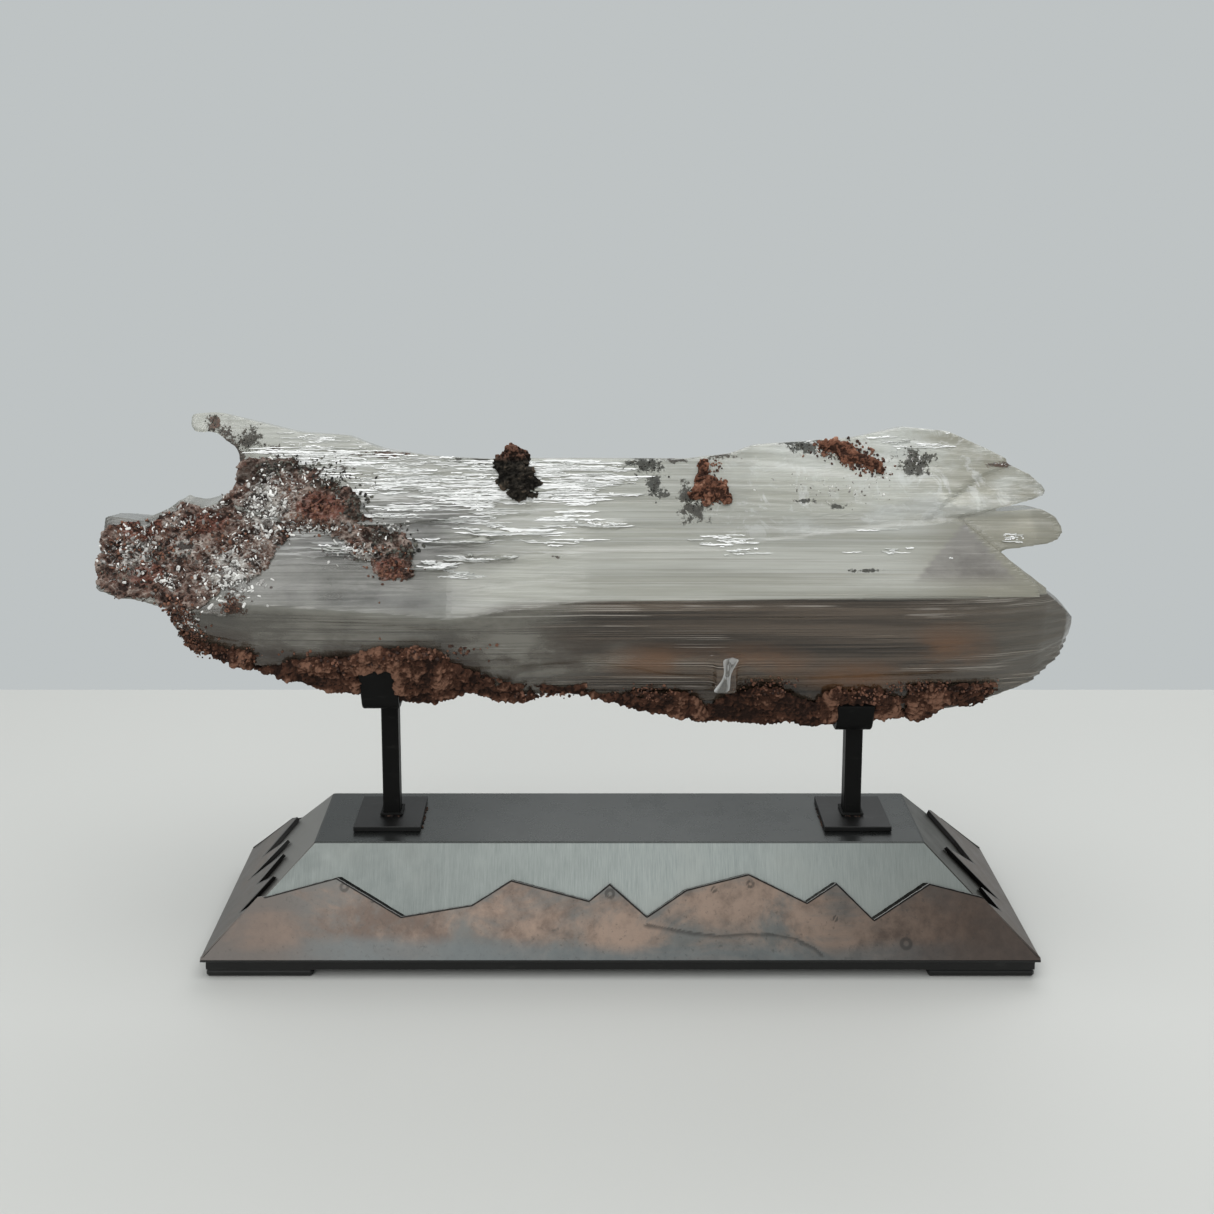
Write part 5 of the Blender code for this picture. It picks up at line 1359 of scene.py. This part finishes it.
# Places where the copper shines through on the front sheet: x, height, half width, half height
COPPER = np.array([
    (-0.0469, 0.0290, 0.0420, 0.0200), (-0.1417, 0.0290, 0.0420, 0.0180),
    (0.0574, 0.0400, 0.0320, 0.0120), (0.1550, 0.0290, 0.0400, 0.0180), (0.0040, 0.0220, 0.0200, 0.0100),
    (-0.1900, 0.0230, 0.0240, 0.0120), (0.1050, 0.0330, 0.0220, 0.0120),
])
RUN_LINE = [
    (0.0147, 0.0275), (0.0260, 0.0258), (0.0400, 0.0238), (0.0534, 0.0226), (0.0700, 0.0236),
    (0.0857, 0.0230), (0.0960, 0.0212), (0.1056, 0.0172), (0.1097, 0.0141),
]


def make_patina():
    """Grey steel, copper clouds, blue foot, red right, dark left, specks, rings, black edge, painted corner
    highlight.
    """
    finish = Finish("patina", roughness=0.40, metallic=0.8)
    x = finish.axes()[0]
    clouds = finish.noise(11.0, detail=7.0, roughness=0.62)
    patches = finish.noise(26.0, stretch=(0.7, 1.0, 1.2), detail=8.0, roughness=0.70, distortion=0.9)
    small = finish.noise(120.0, detail=5.0, roughness=0.65)
    grey = finish.mix(small, (0.100, 0.103, 0.100), (0.200, 0.200, 0.190))
    cloudy = finish.band(finish.maths("MULTIPLY_ADD", small, 0.6, clouds), 0.62, 0.98)
    copper = finish.mix(cloudy, (0.125, 0.090, 0.073), (0.330, 0.240, 0.188))
    shown = finish.maths("MULTIPLY_ADD", finish.mask("copper"), 0.20, patches)
    colour = finish.layer(grey, copper, finish.band(shown, 0.44, 0.72), 0.9)
    blue = finish.mix(small, (0.105, 0.120, 0.124), (0.185, 0.202, 0.204))
    cloudy = finish.maths("ADD", finish.mask("up_share"), finish.maths("MULTIPLY", clouds, 0.35))
    low = finish.band(cloudy, 0.36, 0.22)
    colour = finish.layer(colour, blue, low, 0.75)
    right = finish.band(finish.maths("MULTIPLY_ADD", clouds, 0.10, x), STAND_X + 0.14, STAND_X + 0.25)
    red = finish.mix(small, (0.055, 0.040, 0.034), (0.120, 0.082, 0.064))
    colour = finish.layer(colour, red, right, 0.85)
    left = finish.band(finish.maths("MULTIPLY_ADD", clouds, -0.08, x), STAND_X - 0.16, STAND_X - 0.25)
    rim = finish.mix(small, (0.070, 0.060, 0.054), (0.150, 0.120, 0.104))
    colour = finish.layer(colour, rim, left, 0.75)
    speck = finish.band(finish.noise(420.0, detail=5.0, roughness=0.7), 0.56, 0.70)
    colour = finish.layer(colour, (0.060, 0.058, 0.054), speck, 0.45)
    ring = finish.band(finish.maths("MULTIPLY_ADD", small, 0.9, finish.mask("ring")), 0.60, 1.15)
    colour = finish.layer(colour, (0.045, 0.042, 0.040), ring, 0.65)
    black = finish.band(finish.mask("from_edge"), 0.00125, 0.00085)
    black = finish.maths("MULTIPLY", finish.maths("MAXIMUM", black, finish.mask("cut_edge")), 0.95)
    colour = finish.mix(black, colour, (0.008, 0.008, 0.008))
    # A painted highlight on the sheet's rounded corner
    colour = finish.layer(colour, (0.50, 0.50, 0.48), finish.mask("corner"), 0.35)
    finish.into("Base Color", colour)
    finish.into("Roughness", finish.maths("MULTIPLY_ADD", small, 0.25, 0.28))
    finish.into("Normal", finish.bump(finish.noise(900.0, detail=3.0), 0.00004, 0.5))
    return finish.material


def ring_mask(points):
    """1 on a spot's dark outline or on the dried run of water, 0 beside them. Only on the front."""
    x, z = face_place(points)
    rings = np.array(RINGS)
    away = np.hypot(x[:, None] - rings[:, 0], (z[:, None] - rings[:, 1]) * 1.2)
    spots = 1.0 - np.abs(away - rings[:, 2] * 0.7) / (rings[:, 2] * 0.5)
    run = line_distance(np.array(RUN_LINE), x, z)
    run = np.where(z < np.interp(x, *np.array(RUN_LINE).T), 0.75 - run / 0.0040, 0.75 - run / 0.0009)
    return np.clip(np.maximum(spots.max(axis=1), run), 0.0, 1.0) * (points[:, 1] < 0)


print("ring spots:", len(RINGS), "copper places:", len(COPPER))

# %% [markdown]
# All four sheets come from the same function with another line, turn and size. The back isn't seen in the
# picture, so it carries the front's line.

# %% The four sheets
PATINA = make_patina()


def mirrored(line):
    """The line as seen from the other side."""
    return [(-across, share) for across, share in reversed(line)]


SHEETS = {
    "cladding_front": (FRONT_LINE, 0.0, DEPTHS, LENGTHS),
    "cladding_back": (mirrored(FRONT_LINE), math.pi, DEPTHS, LENGTHS),
    "cladding_right": (RIGHT_LINE, math.pi / 2, LENGTHS, DEPTHS),
    "cladding_left": (mirrored(LEFT_LINE), -math.pi / 2, LENGTHS, DEPTHS),
}
for node, (line, turn, depth, length) in SHEETS.items():
    sheet = make_sheet(node + "_sheet", line, turn, depth, length)
    set_mask(sheet, "ring", ring_mask(points_of(sheet)))
    near, _ = nearest_spot(*face_place(points_of(sheet)), COPPER)
    set_mask(sheet, "copper", np.clip(near + 0.3, 0.0, 1.0))
    sheet.materials.append(PATINA)
    add_piece(node + "_sheet", sheet, (node,))
